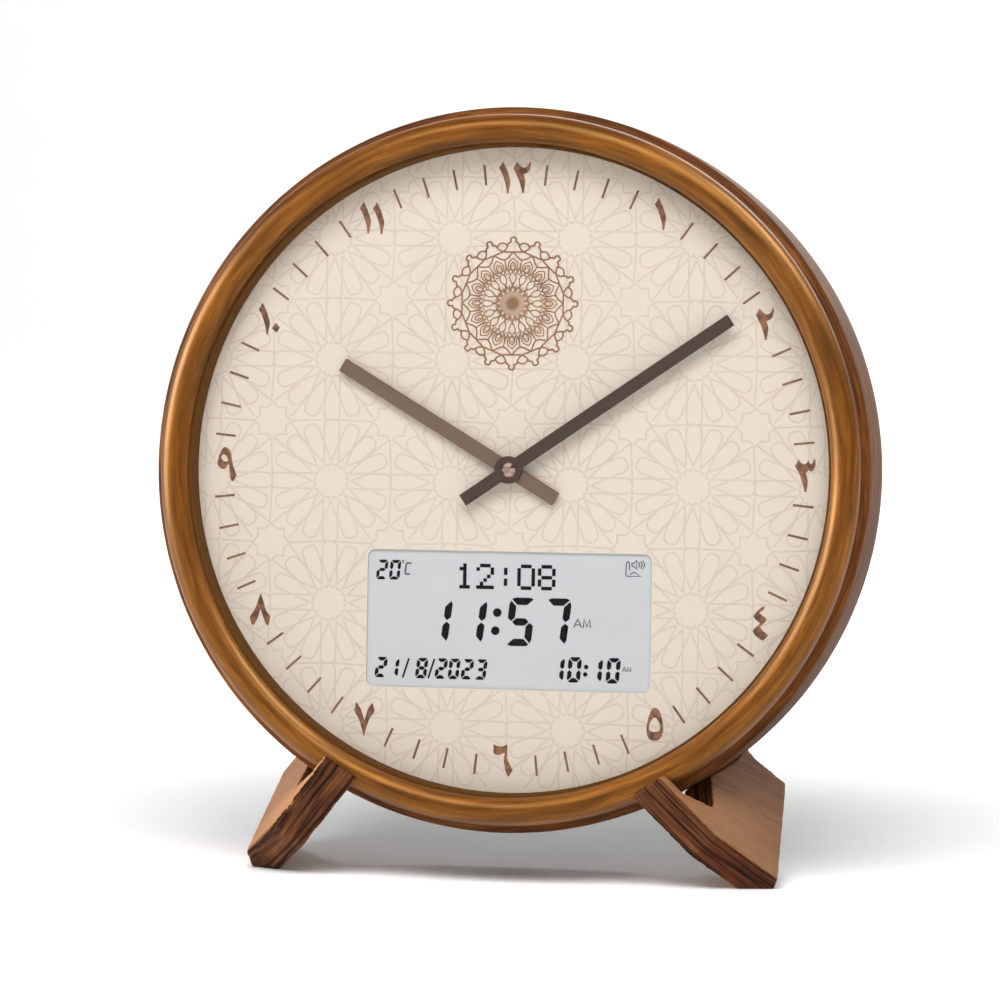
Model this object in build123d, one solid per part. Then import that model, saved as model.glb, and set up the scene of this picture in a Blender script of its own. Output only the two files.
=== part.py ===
from build123d import *
import math
import os

# Azan clock: a turned wooden ring with an analogue dial and a digital display, on two hooked wooden feet.
# Units are millimetres. +Z is up and the dial faces -Y.
# Each case piece is drawn upright about the dial's centre: x to the right, y to the back, z up,
# with the dial's front at y = 0. place() then leans it back and lifts it to its height.
# The feet are drawn about the same centre, but level with the floor. stand() lifts them.

# ---- driving dimensions: the stance ----
LEAN = 5.0                     # degrees that the case leans back
DIAL_HEIGHT = 144.5            # dial centre above the floor
DIAL_Y = -10.495               # dial centre from the middle of the whole depth

# ---- driving dimensions: the wooden ring, as radius from the dial's axis and depth ----
LIP_R = 113.9                  # inner edge of the front bead
BEAD_R = 124.3                 # outer edge of the front bead
BEAD_MID_Y = -9.2              # depth of the bead's round front
LIP_Y = -11.0                  # back of the lip, which the lens rests on
GROOVE_R = 123.2               # narrow groove between the bead and the side band
GROOVE_Y = -5.9
BAND_FRONT = (127.1, -3.5)     # front edge of the side band
BAND_MIDDLE = (127.4, 15.0)
BAND_BACK = (126.95, 34.7)
BACK_EDGE_R = 124.2
RING_BACK_Y = 38.5
WALL_R = 117.4                 # inner wall of the ring
COVER_SEAT_R = 122.2
COVER_SEAT_Y = 35.0

# ---- driving dimensions: dial, lens and display ----
LENS_T = 1.8
LENS_R = 117.1
SPACER_R = 113.3
DIAL_T = 1.0
DIAL_R = 117.1
RETAINER_R = 111.0
RETAINER_T = 2.0
BUSH_HOLE_R = 3.1
WINDOW_W = 101.7
WINDOW_H = 48.5
WINDOW_CORNER_R = 2.8
WINDOW_Z = -52.9
PANEL_W = 108.0
PANEL_H = 56.0
PANEL_T = 2.8
HOLDER_W = 122.0
HOLDER_H = 70.0
HOLDER_BACK_Y = 7.5
STRIP_HALF_L = 46.0            # rubber strips that join the display to its board
STRIP_HALF_T = 1.2
BOARD_T = 1.6

# ---- driving dimensions: movement and hands ----
MOVEMENT_W = 56.0
MOVEMENT_LOW_Z = -14.0
MOVEMENT_TOP_Z = 28.0
MOVEMENT_FRONT_Y = 2.0
MOVEMENT_BACK_Y = 13.6
MOVEMENT_WALL = 1.2
BUSH_R = 3.0
BUSH_FRONT_Y = -1.7
ARBOR_R = 1.60
RUNNING_GAP = 0.05             # radial clearance of every turning fit
TUBE_R = 2.30
HAND_T = 1.4
HOUR_HAND_Y = -3.3             # front faces of the two hands
MINUTE_HAND_Y = -5.6
HOUR_HAND_LENGTH = 70.6
MINUTE_HAND_LENGTH = 94.2
HAND_TAIL = 19.4
HOUR_HAND_W = 5.0
MINUTE_HAND_W = 4.4
HOUR_HAND_ANGLE = 300.9        # degrees clockwise from twelve, as the hands are stored
MINUTE_HAND_ANGLE = 55.6
HUB_R = 4.8
CAP_R = 3.0
CAP_H = 2.6

# ---- driving dimensions: motion work ----
FAST_MODULE = 0.50             # cannon pinion, motion wheel and setting pinion
SLOW_MODULE = 0.48             # motion pinion and hour wheel
CANNON_TEETH = 12
MOTION_TEETH = 36
MOTION_PINION_TEETH = 10
HOUR_TEETH = 40
WHEEL_DISTANCE = FAST_MODULE * (CANNON_TEETH + MOTION_TEETH) / 2
SETTER_ANGLE = 30.0            # direction from the motion wheel to the setting pinion
HOUR_WHEEL_Y = 3.5
FAST_WHEEL_Y = 5.1
SLOW_WHEEL_T = 1.0
FAST_WHEEL_T = 1.6
POST_R = 0.80

# ---- driving dimensions: back ----
COVER_R = 122.0
COVER_T = 2.0
COVER_BACK_Y = COVER_SEAT_Y + COVER_T
COVER_SCREW_COUNT = 6
COVER_SCREW_PCR = 119.5
KNOB_R = 7.0
KNOB_T = 5.0
SPEAKER_Z = 66.0
SPEAKER_R = 25.0
DOOR_W = 58.0
DOOR_LOW_Z = -98.0
DOOR_TOP_Z = -48.0
DOOR_AXIS_Z = DOOR_LOW_Z + 1.3
DOOR_GAP = 0.3
DOOR_SWING_GAP = 1.5           # the cover's cut below the hinge axis clears the turning door
HINGE_Y = 35.2
HINGE_R = 1.25
TRUNNION_R = 0.90
CELL_R = 7.1
CELL_LENGTH = 49.5
CELL_PITCH = 15.2
CELL_Y = 26.0
BOX_BACK_Y = 32.6
BOX_WALL_X = 29.8              # inner face of the battery box's end walls
BOX_END_X = 31.0
SPRING_WIRE_R = 0.35
BUTTON_X = -72.0
BUTTON_Z = {"button_set": 24.0, "button_up": 8.0, "button_down": -8.0, "button_light": -24.0}
BUTTON_R = 3.5
BUTTON_TRAVEL = 0.8
BUTTON_GAP = 0.10
SLIDER_Z = -44.0
SLIDER_TRAVEL = 5.0
BUTTON_BOARD_Y = 27.0
BUTTON_BOARD_BACK_Y = BUTTON_BOARD_Y + BOARD_T
BUTTON_BOARD_SCREW_Z = (32.0, -56.0)
LEAD_R = 0.6
SWITCH_TOP_Y = BUTTON_BOARD_BACK_Y + 2.6
BOARD_BACK_Y = HOLDER_BACK_Y + BOARD_T

# ---- driving dimensions: feet ----
FOOT_T = 13.5
FOOT_FLOOR = -DIAL_HEIGHT
# The planks are shaped by hand and differ a little. Both are drawn as a right foot; the left one is mirrored.
# tip: front tip of the outer face, from the dial's centre
# slope: degrees that the plank's long edge drops below level
# roll, turn: degrees about that edge and about the vertical
# knee, toe, rear: corners of the outer face, u down the slope and v to the back
# heel: where the bevel below the outer face meets the floor, x and y from the dial's centre
RIGHT_PLANK = dict(tip=(58.0, -24.9, -101.7), slope=51.2, roll=15.0, turn=-1.8,
                   knee=(28.4, 3.4), toe=(53.9, 19.1), rear=(30.3, 68.0), heel=(94.6, -5.0))
LEFT_PLANK = dict(tip=(60.9, -24.8, -98.4), slope=54.0, roll=14.2, turn=1.2,
                  knee=(34.1, 5.4), toe=(53.0, 21.7), rear=(34.8, 71.2), heel=(95.4, 2.3))
# The rest of the outer face's outline is the same on both planks.
TIP_FRONT = (0.3, -3.4)
TIP_BACK = (1.2, 1.4)
HOOK_ROOT = (9.7, 3.6)
GAP_BOTTOM = (20.3, 14.6)
SEAT_FRONT = (10.2, 28.2)
SEAT_BACK = (10.8, 57.6)
LIP_FRONT = (5.5, 57.9)
LIP_BACK = (6.5, 61.2)
REAR_TOP = (17.1, 61.6)
FOOT_SCREW_V = 38.0
FOOT_SCREW_HEAD_U = 30.0
FOOT_SCREW_TIP_U = 6.0
FOOT_SCREW_R = 1.6
FOOT_SCREW_HEAD_R = 3.1


# ---- helpers ----
def place(shape):
    """Lean a case piece back and set it at its height."""
    return Pos(0, DIAL_Y, DIAL_HEIGHT) * Rot(-LEAN, 0, 0) * shape


def stand(shape):
    """Set a foot piece, drawn level about the dial's centre, on the floor."""
    return Pos(0, DIAL_Y, DIAL_HEIGHT) * shape


def box(x0, x1, y0, y1, z0, z1):
    size = (x1 - x0, y1 - y0, z1 - z0)
    middle = ((x0 + x1) / 2, (y0 + y1) / 2, (z0 + z1) / 2)
    return Pos(*middle) * Box(*size)


def disc(radius, y0, y1, x=0.0, z=0.0):
    """Cylinder along y from y0 to y1."""
    middle = (x, (y0 + y1) / 2, z)
    return Pos(*middle) * Rot(90, 0, 0) * Cylinder(radius, abs(y1 - y0))


def tube(outer, inner, y0, y1, x=0.0, z=0.0):
    return disc(outer, y0, y1, x, z) - disc(inner, y0 - 1, y1 + 1, x, z)


def rounded_plate(width, height, corner, y0, y1, x=0.0, z=0.0):
    """Plate with rounded corners that faces along y."""
    sketch = Pos(x, y1, z) * Rot(90, 0, 0) * RectangleRounded(width, height, corner)
    return extrude(sketch, y1 - y0, dir=(0, -1, 0))


def frustum(front_r, back_r, y0, y1, x=0.0, z=0.0):
    """Cone along y, front_r wide at y0 and back_r wide at y1."""
    middle = (x, (y0 + y1) / 2, z)
    return Pos(*middle) * Rot(-90, 0, 0) * Cone(front_r, back_r, y1 - y0)


def polar(radius, degrees):
    """Point on the dial, clockwise from twelve."""
    angle = math.radians(degrees)
    return radius * math.sin(angle), radius * math.cos(angle)


def gear(teeth, module, y0, y1, x, z, phase):
    """Spur wheel along y. phase turns the first tooth, in degrees from +x towards +z."""
    pitch_r = module * teeth / 2
    root_r = pitch_r - 1.15 * module
    tip_r = pitch_r + 0.80 * module
    step = 2 * math.pi / teeth
    outline = []
    for index in range(teeth):
        centre = math.radians(phase) + index * step
        for radius, share in ((root_r, -0.27), (tip_r, -0.11), (tip_r, 0.11), (root_r, 0.27)):
            angle = centre + share * step
            outline.append((radius * math.cos(angle), radius * math.sin(angle)))
    face = Plane.XZ * make_face(Polyline(*outline, close=True))
    wheel = extrude(face, y1 - y0, dir=(0, 1, 0))
    return Pos(x, y0, z) * wheel


def lead(points, radius, bend):
    """Insulated wire along straight runs with rounded corners."""
    path = FilletPolyline(*points, radius=bend)
    start = Plane(origin=path @ 0, z_dir=path % 0)
    return sweep(start * Circle(radius), path=path)


# ---- wooden ring ----
def ring_section(inner_r):
    """Half section of the ring: bead, groove and side band outside, a straight wall inside."""
    bead_r = (BEAD_R - LIP_R) / 2
    bead_mid = LIP_R + bead_r
    lip_r = bead_mid - math.sqrt(bead_r ** 2 - (LIP_Y - BEAD_MID_Y) ** 2)
    front = (bead_mid, BEAD_MID_Y - bead_r)
    bead_side = (BEAD_R, BEAD_MID_Y)
    with BuildLine() as edge:
        Line((inner_r, LIP_Y), (lip_r, LIP_Y))
        swing = math.radians(225)
        lower = (bead_mid + bead_r * math.cos(swing), BEAD_MID_Y + bead_r * math.sin(swing))
        ThreePointArc((lip_r, LIP_Y), lower, front)
        swing = math.radians(315)
        upper = (bead_mid + bead_r * math.cos(swing), BEAD_MID_Y + bead_r * math.sin(swing))
        ThreePointArc(front, upper, bead_side)
        ThreePointArc(bead_side, (BEAD_R - 0.2, BEAD_MID_Y + 1.9), (GROOVE_R, GROOVE_Y))
        band_edge = (BAND_FRONT[0] - 0.9, BAND_FRONT[1] - 1.1)
        Line((GROOVE_R, GROOVE_Y), band_edge)
        ThreePointArc(band_edge, (BAND_FRONT[0] - 0.25, BAND_FRONT[1] - 0.7), BAND_FRONT)
        ThreePointArc(BAND_FRONT, BAND_MIDDLE, BAND_BACK)
        ThreePointArc(BAND_BACK, (126.1, 37.1), (BACK_EDGE_R, RING_BACK_Y))
        Line((BACK_EDGE_R, RING_BACK_Y), (COVER_SEAT_R, RING_BACK_Y))
        Line((COVER_SEAT_R, RING_BACK_Y), (COVER_SEAT_R, COVER_SEAT_Y))
        Line((COVER_SEAT_R, COVER_SEAT_Y), (inner_r, COVER_SEAT_Y))
        Line((inner_r, COVER_SEAT_Y), (inner_r, LIP_Y))
    return make_face(edge.line)


def turned(section):
    """Turn a section, drawn as radius and depth, about the dial's axis."""
    return revolve(section, Axis.Y)


def cover_screw_spots():
    step = 360 / COVER_SCREW_COUNT
    return [polar(COVER_SCREW_PCR, (index + 0.5) * step) for index in range(COVER_SCREW_COUNT)]


def wooden_frame():
    ring = turned(ring_section(WALL_R))
    for x, z in cover_screw_spots():
        ring -= disc(1.25, 25.0, COVER_SEAT_Y + 1, x, z)
    return ring


# ---- front stack ----
def front_lens():
    return disc(LENS_R, LIP_Y, LIP_Y + LENS_T)


def spacer_ring():
    return tube(LENS_R, SPACER_R, LIP_Y + LENS_T, 0)


def dial_plate():
    plate = disc(DIAL_R, 0, DIAL_T)
    plate -= disc(BUSH_HOLE_R, -1, DIAL_T + 1)
    return plate - rounded_plate(WINDOW_W, WINDOW_H, WINDOW_CORNER_R, -1, DIAL_T + 1, z=WINDOW_Z)


def retaining_ring():
    return tube(LENS_R, RETAINER_R, DIAL_T, DIAL_T + RETAINER_T)


# ---- display module ----
def lcd_panel():
    low = WINDOW_Z - PANEL_H / 2
    return box(-PANEL_W / 2, PANEL_W / 2, DIAL_T, DIAL_T + PANEL_T, low, low + PANEL_H)


def strip_spots():
    return [WINDOW_Z + side * (PANEL_H / 2 - 3.0) for side in (-1, 1)]


def lcd_holder():
    low = WINDOW_Z - HOLDER_H / 2
    holder = box(-HOLDER_W / 2, HOLDER_W / 2, DIAL_T, HOLDER_BACK_Y, low, low + HOLDER_H)
    pocket_x = PANEL_W / 2 + 0.2
    pocket_z = PANEL_H / 2 + 0.2
    holder -= box(-pocket_x, pocket_x, DIAL_T - 1, DIAL_T + PANEL_T, WINDOW_Z - pocket_z, WINDOW_Z + pocket_z)
    open_x = PANEL_W / 2 - 6.0
    open_z = PANEL_H / 2 - 7.0
    holder -= box(-open_x, open_x, DIAL_T, HOLDER_BACK_Y + 1, WINDOW_Z - open_z, WINDOW_Z + open_z)
    slot_x = STRIP_HALF_L + 0.2
    slot_z = STRIP_HALF_T + 0.1
    for z in strip_spots():
        holder -= box(-slot_x, slot_x, DIAL_T, HOLDER_BACK_Y + 1, z - slot_z, z + slot_z)
    for x, z in board_screw_spots():
        holder -= disc(1.0, 3.0, HOLDER_BACK_Y + 1, x, z)
    return holder


def lcd_contact_strips():
    front = DIAL_T + PANEL_T
    return [box(-STRIP_HALF_L, STRIP_HALF_L, front, HOLDER_BACK_Y, z - STRIP_HALF_T, z + STRIP_HALF_T)
            for z in strip_spots()]


def board_screw_spots():
    reach_x = HOLDER_W / 2 - 3.2
    reach_z = HOLDER_H / 2 - 3.2
    return [(side_x * reach_x, WINDOW_Z + side_z * reach_z) for side_x in (-1, 1) for side_z in (-1, 1)]


def main_board():
    low = WINDOW_Z - HOLDER_H / 2
    board = box(-HOLDER_W / 2, HOLDER_W / 2, HOLDER_BACK_Y, BOARD_BACK_Y, low, low + HOLDER_H)
    for x, z in board_screw_spots():
        board -= disc(1.2, HOLDER_BACK_Y - 1, BOARD_BACK_Y + 1, x, z)
    return board


def board_chips():
    face = BOARD_BACK_Y
    controller = box(-38, -24, face, face + 1.6, -50, -36)
    sound_chip = box(-18, -10, face, face + 1.4, -48, -38)
    clock_crystal = box(-4, 4, face, face + 2.6, -45, -42)
    capacitors = [disc(2.5, face, face + 6.0, x, -40.0) for x in (14.0, 22.0)]
    return [controller, sound_chip, clock_crystal] + capacitors


def screw(head_r, head_t, shank_r, x, z, seat_y, tip_y):
    """Pan-head screw with a cross recess. It runs forward from its seat at seat_y to tip_y."""
    shank = disc(shank_r, tip_y, seat_y, x, z)
    head = disc(head_r, seat_y, seat_y + head_t, x, z)
    top = seat_y + head_t
    slot_w = head_r * 0.28
    slot_l = head_r * 0.62
    recess = box(x - slot_l, x + slot_l, top - 0.6, top + 1, z - slot_w / 2, z + slot_w / 2)
    recess += box(x - slot_w / 2, x + slot_w / 2, top - 0.6, top + 1, z - slot_l, z + slot_l)
    return (head - recess) + shank


def board_screws():
    """Four screws of the main board, and two that run backwards into the rear cover's posts."""
    screws = [screw(1.9, 1.2, 0.95, x, z, BOARD_BACK_Y, 3.2) for x, z in board_screw_spots()]
    for z in BUTTON_BOARD_SCREW_Z:
        head = disc(1.9, BUTTON_BOARD_Y - 1.2, BUTTON_BOARD_Y, BUTTON_X, z)
        screws.append(head + disc(0.95, BUTTON_BOARD_Y, BUTTON_BOARD_Y + 6.0, BUTTON_X, z))
    return screws


# ---- movement ----
MOTION_X, MOTION_Z = 0.0, WHEEL_DISTANCE
SETTER_X = MOTION_X + WHEEL_DISTANCE * math.cos(math.radians(SETTER_ANGLE))
SETTER_Z = MOTION_Z + WHEEL_DISTANCE * math.sin(math.radians(SETTER_ANGLE))


def movement_case():
    half = MOVEMENT_W / 2
    wall = MOVEMENT_WALL
    case = box(-half, half, MOVEMENT_FRONT_Y, MOVEMENT_BACK_Y, MOVEMENT_LOW_Z, MOVEMENT_TOP_Z)
    case = fillet(case.edges().filter_by(Axis.Y), 3.0)
    case -= box(-half + wall, half - wall, MOVEMENT_FRONT_Y + wall, MOVEMENT_BACK_Y + 1,
                MOVEMENT_LOW_Z + wall, MOVEMENT_TOP_Z - wall)
    case += disc(BUSH_R, BUSH_FRONT_Y, MOVEMENT_FRONT_Y + wall)
    case -= disc(TUBE_R + RUNNING_GAP, BUSH_FRONT_Y - 1, MOVEMENT_FRONT_Y + wall + 1)
    case += disc(POST_R, MOVEMENT_FRONT_Y + wall, FAST_WHEEL_Y + FAST_WHEEL_T + 0.5, MOTION_X, MOTION_Z)
    return case


def movement_cover():
    half = MOVEMENT_W / 2
    cover = box(-half, half, MOVEMENT_BACK_Y, MOVEMENT_BACK_Y + 1.4, MOVEMENT_LOW_Z, MOVEMENT_TOP_Z)
    cover = fillet(cover.edges().filter_by(Axis.Y), 3.0)
    cover -= disc(1.0 + RUNNING_GAP, MOVEMENT_BACK_Y - 1, MOVEMENT_BACK_Y + 3)
    return cover - disc(1.2 + RUNNING_GAP, MOVEMENT_BACK_Y - 1, MOVEMENT_BACK_Y + 3, SETTER_X, SETTER_Z)


def motor_block():
    coil = box(-25.6, -18.2, 4.6, 12.4, -8, 24)
    core = box(-18.2, -11.6, 7.6, 9.2, -8, 24)
    return coil + core


def shaft_washer():
    return tube(8.0, BUSH_HOLE_R, DIAL_T, MOVEMENT_FRONT_Y)


def shaft_nut():
    face = Plane.XZ * RegularPolygon(4.5, 6)
    nut = Pos(0, -1.5, 0) * extrude(face, 1.5, dir=(0, 1, 0))
    return nut - disc(BUSH_R, -3, 1)


def minute_arbor():
    """Shaft that carries the minute hand, with the cannon pinion cut on it."""
    shaft = disc(ARBOR_R, MINUTE_HAND_Y - 1.2, FAST_WHEEL_Y)
    shaft += disc(1.0, FAST_WHEEL_Y, MOVEMENT_BACK_Y + 1.0)
    # One tooth of the pinion points straight up at the motion wheel.
    pinion = gear(CANNON_TEETH, FAST_MODULE, FAST_WHEEL_Y - 0.1, FAST_WHEEL_Y + FAST_WHEEL_T + 0.1, 0, 0, 90)
    return shaft + pinion


def hour_wheel():
    half_tooth = 180 / HOUR_TEETH
    back = HOUR_WHEEL_Y + SLOW_WHEEL_T
    wheel = gear(HOUR_TEETH, SLOW_MODULE, HOUR_WHEEL_Y, back, 0, 0, 90 + half_tooth)
    wheel += disc(TUBE_R, HOUR_HAND_Y - 0.3, back)
    return wheel - disc(ARBOR_R + RUNNING_GAP, HOUR_HAND_Y - 2, back + 1)


def motion_wheel():
    """Wheel and pinion on the post between the minute arbor and the hour wheel."""
    half_tooth = 180 / MOTION_TEETH
    wheel = gear(MOTION_TEETH, FAST_MODULE, FAST_WHEEL_Y, FAST_WHEEL_Y + FAST_WHEEL_T,
                 MOTION_X, MOTION_Z, -90 + half_tooth)
    pinion = gear(MOTION_PINION_TEETH, SLOW_MODULE, HOUR_WHEEL_Y - 0.05, FAST_WHEEL_Y,
                  MOTION_X, MOTION_Z, -90)
    wheel += pinion
    return wheel - disc(POST_R + RUNNING_GAP, HOUR_WHEEL_Y - 2, FAST_WHEEL_Y + 3, MOTION_X, MOTION_Z)


def setting_arbor():
    """Pinion that the knob turns, on a long shaft to the back."""
    wheel_phase = -90 + 180 / MOTION_TEETH
    pitches = (SETTER_ANGLE - wheel_phase) / (360 / MOTION_TEETH)
    tooth_offset = (pitches - math.floor(pitches)) * 360 / CANNON_TEETH
    # The pinion's tooth gap meets the wheel's nearest tooth on the line between the two centres.
    phase = SETTER_ANGLE + 180 + tooth_offset + 180 / CANNON_TEETH
    pinion = gear(CANNON_TEETH, FAST_MODULE, FAST_WHEEL_Y - 0.1, FAST_WHEEL_Y + FAST_WHEEL_T + 0.1,
                  SETTER_X, SETTER_Z, phase)
    return pinion + disc(1.2, FAST_WHEEL_Y, COVER_BACK_Y + 3.0, SETTER_X, SETTER_Z)


def setting_knob():
    front = COVER_BACK_Y + 0.4
    knob = disc(KNOB_R, front, front + KNOB_T, SETTER_X, SETTER_Z)
    for index in range(20):
        angle = math.radians(index * 360 / 20)
        x = SETTER_X + (KNOB_R + 0.35) * math.cos(angle)
        z = SETTER_Z + (KNOB_R + 0.35) * math.sin(angle)
        knob -= disc(0.7, front - 1, front + KNOB_T + 1, x, z)
    return knob - disc(1.2, front - 1, COVER_BACK_Y + 3.0, SETTER_X, SETTER_Z)


# ---- hands ----
def hand(length, width, front_y, degrees, bore_r):
    """Flat bar with square ends and a round boss. It points degrees clockwise from twelve."""
    back_y = front_y + HAND_T
    bar = box(-width / 2, width / 2, front_y, back_y, -HAND_TAIL, length)
    bar = chamfer(bar.faces().sort_by(Axis.Y)[0].edges(), 0.35)
    bar += disc(HUB_R, front_y, back_y)
    bar -= disc(bore_r, front_y - 1, back_y + 1)
    return Rot(0, degrees, 0) * bar


def hour_hand():
    return hand(HOUR_HAND_LENGTH, HOUR_HAND_W, HOUR_HAND_Y, HOUR_HAND_ANGLE, TUBE_R)


def minute_hand():
    return hand(MINUTE_HAND_LENGTH, MINUTE_HAND_W, MINUTE_HAND_Y, MINUTE_HAND_ANGLE, ARBOR_R)


def hand_cap():
    """Conical cap pressed on the end of the minute arbor."""
    front = MINUTE_HAND_Y - CAP_H
    cap = frustum(1.3, CAP_R, front, MINUTE_HAND_Y)
    return cap - disc(ARBOR_R, MINUTE_HAND_Y - 1.2, MINUTE_HAND_Y + 1)


# ---- rear cover and what it carries ----
def grille_spots():
    spots = []
    for ring_index in range(1, 6):
        for index in range(6 * ring_index):
            x, z = polar(3.8 * ring_index, index * 60 / ring_index)
            spots.append((x, SPEAKER_Z + z))
    return spots


def back_cover():
    cover = disc(COVER_R, COVER_SEAT_Y, COVER_BACK_Y)
    for x, z in cover_screw_spots():
        cover -= disc(1.4, COVER_SEAT_Y - 1, COVER_BACK_Y + 1, x, z)
    holes = [disc(1.1, COVER_SEAT_Y - 1, COVER_BACK_Y + 1, x, z) for x, z in grille_spots()]
    cover -= holes
    cover -= disc(3.0, COVER_SEAT_Y - 1, COVER_BACK_Y + 1, SETTER_X, SETTER_Z)
    cover -= box(-DOOR_W / 2 - DOOR_GAP, DOOR_W / 2 + DOOR_GAP, COVER_SEAT_Y - 1, COVER_BACK_Y + 1,
                 DOOR_LOW_Z - DOOR_SWING_GAP, DOOR_TOP_Z + DOOR_GAP)
    for side in (-1, 1):
        x = side * (DOOR_W / 2 + 2.2)
        cover += box(x - 1.9, x + 1.9, HINGE_Y - 2.4, COVER_BACK_Y, DOOR_AXIS_Z - 2.5, DOOR_AXIS_Z + 2.5)
    cover -= trunnions(TRUNNION_R + RUNNING_GAP, 2.4)
    for z in BUTTON_Z.values():
        cover -= disc(BUTTON_R + BUTTON_GAP, COVER_SEAT_Y - 1, COVER_BACK_Y + 1, BUTTON_X, z)
    cover -= box(BUTTON_X - 1.6, BUTTON_X + 1.6, COVER_SEAT_Y - 1, COVER_BACK_Y + 1,
                 SLIDER_Z - 1.7, SLIDER_Z + SLIDER_TRAVEL + 1.7)
    for z in BUTTON_BOARD_SCREW_Z:
        cover += disc(2.4, BUTTON_BOARD_BACK_Y, COVER_SEAT_Y, BUTTON_X, z)
        cover -= disc(0.95, BUTTON_BOARD_Y, BUTTON_BOARD_Y + 6.0, BUTTON_X, z)
    return cover


def trunnions(radius, length):
    """The two short pins that the battery door turns on."""
    reach = DOOR_W / 2 + length
    pins = Pos(0, HINGE_Y, DOOR_AXIS_Z) * Rot(0, 90, 0) * Cylinder(radius, 2 * reach)
    return pins - box(-DOOR_W / 2, DOOR_W / 2, HINGE_Y - 3, HINGE_Y + 3, DOOR_AXIS_Z - 3, DOOR_AXIS_Z + 3)


def battery_door():
    door = box(-DOOR_W / 2, DOOR_W / 2, COVER_SEAT_Y + 0.2, COVER_BACK_Y, DOOR_AXIS_Z, DOOR_TOP_Z)
    door += Pos(0, HINGE_Y, DOOR_AXIS_Z) * Rot(0, 90, 0) * Cylinder(HINGE_R, DOOR_W)
    for index in range(5):
        z = DOOR_TOP_Z - 4.0 - 1.8 * index
        door += box(-9, 9, COVER_BACK_Y, COVER_BACK_Y + 0.5, z - 0.4, z + 0.4)
    return door + trunnions(TRUNNION_R, 2.2)


def back_cover_screws():
    return [screw(2.4, 1.3, 1.25, x, z, COVER_BACK_Y, 27.0) for x, z in cover_screw_spots()]


# ---- battery box ----
def cell_spots():
    middle = (DOOR_LOW_Z + DOOR_TOP_Z) / 2
    return [middle + offset * CELL_PITCH for offset in (-1, 0, 1)]


def battery_box():
    low, high = DOOR_LOW_Z + 0.6, DOOR_TOP_Z - 0.6
    shell = box(-BOX_END_X, BOX_END_X, 17.4, BOX_BACK_Y, low, high)
    shell -= box(-BOX_WALL_X, BOX_WALL_X, 18.6, BOX_BACK_Y + 1, low + 1.2, high - 1.2)
    for offset in (-0.5, 0.5):
        z = (low + high) / 2 + offset * CELL_PITCH
        shell += box(-BOX_WALL_X, BOX_WALL_X, 18.6, 21.0, z - 0.3, z + 0.3)
    return shell


def batteries():
    cells = []
    for index, z in enumerate(cell_spots()):
        side = 1 if index % 2 else -1
        can = Pos(side * 1.2, CELL_Y, z) * Rot(0, 90, 0) * Cylinder(CELL_R, CELL_LENGTH)
        tip_x = side * (1.2 + CELL_LENGTH / 2 + 0.6)
        can += Pos(tip_x, CELL_Y, z) * Rot(0, 90, 0) * Cylinder(2.6, 1.2)
        cells.append(can)
    return cells


def battery_contacts():
    plates = []
    for index, z in enumerate(cell_spots()):
        side = 1 if index % 2 else -1
        near = side * (1.2 + CELL_LENGTH / 2 + 1.2)
        far = side * BOX_WALL_X
        plates.append(box(min(near, far), max(near, far), CELL_Y - 4, CELL_Y + 4, z - 4.5, z + 4.5))
    return plates


def battery_springs():
    """One conical coil at the flat end of each cell."""
    springs = []
    for index, z in enumerate(cell_spots()):
        side = 1 if index % 2 else -1
        flat_end = -side * (CELL_LENGTH / 2 - 1.2)
        wall = -side * BOX_WALL_X
        length = abs(wall - flat_end) - 2 * SPRING_WIRE_R - 0.2
        coil = Helix(pitch=length / 3.5, height=length, radius=3.6, cone_angle=-8)
        start = Plane(origin=coil @ 0, z_dir=coil % 0)
        wire = sweep(start * Circle(SPRING_WIRE_R), path=coil, is_frenet=True)
        start_x = wall + side * (SPRING_WIRE_R + 0.1)
        springs.append(Pos(start_x, CELL_Y, z) * Rot(0, side * 90, 0) * wire)
    return springs


# ---- speaker ----
def speaker_basket():
    flange = tube(SPEAKER_R, 22.5, 33.4, COVER_SEAT_Y, z=SPEAKER_Z)
    shell = frustum(12.0, 24.0, 24.0, 33.4, z=SPEAKER_Z) - frustum(10.8, 22.8, 24.0, 33.4, z=SPEAKER_Z)
    base = tube(12.0, 7.0, 22.8, 24.0, z=SPEAKER_Z)
    return flange + shell + base


def speaker_magnet():
    return disc(11.0, 16.0, 22.8, z=SPEAKER_Z)


def speaker_cone():
    cone = frustum(6.2, 22.2, 25.2, 33.4, z=SPEAKER_Z) - frustum(5.6, 21.6, 25.2, 33.4, z=SPEAKER_Z)
    rim = tube(22.3, 21.6, 33.0, 33.9, z=SPEAKER_Z)
    dome = disc(6.2, 24.6, 25.2, z=SPEAKER_Z)
    return cone + rim + dome


# ---- push buttons and sound switch ----
def button_board():
    board = box(BUTTON_X - 7, BUTTON_X + 7, BUTTON_BOARD_Y, BUTTON_BOARD_BACK_Y, -60, 36)
    for z in BUTTON_BOARD_SCREW_Z:
        board -= disc(1.1, BUTTON_BOARD_Y - 1, BUTTON_BOARD_BACK_Y + 1, BUTTON_X, z)
    return board


def button_switches():
    face = BUTTON_BOARD_BACK_Y
    switches = []
    for z in BUTTON_Z.values():
        body = box(BUTTON_X - 3, BUTTON_X + 3, face, face + 2.0, z - 3, z + 3)
        switches.append(body + disc(1.7, face + 2.0, SWITCH_TOP_Y, BUTTON_X, z))
    return switches


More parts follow.
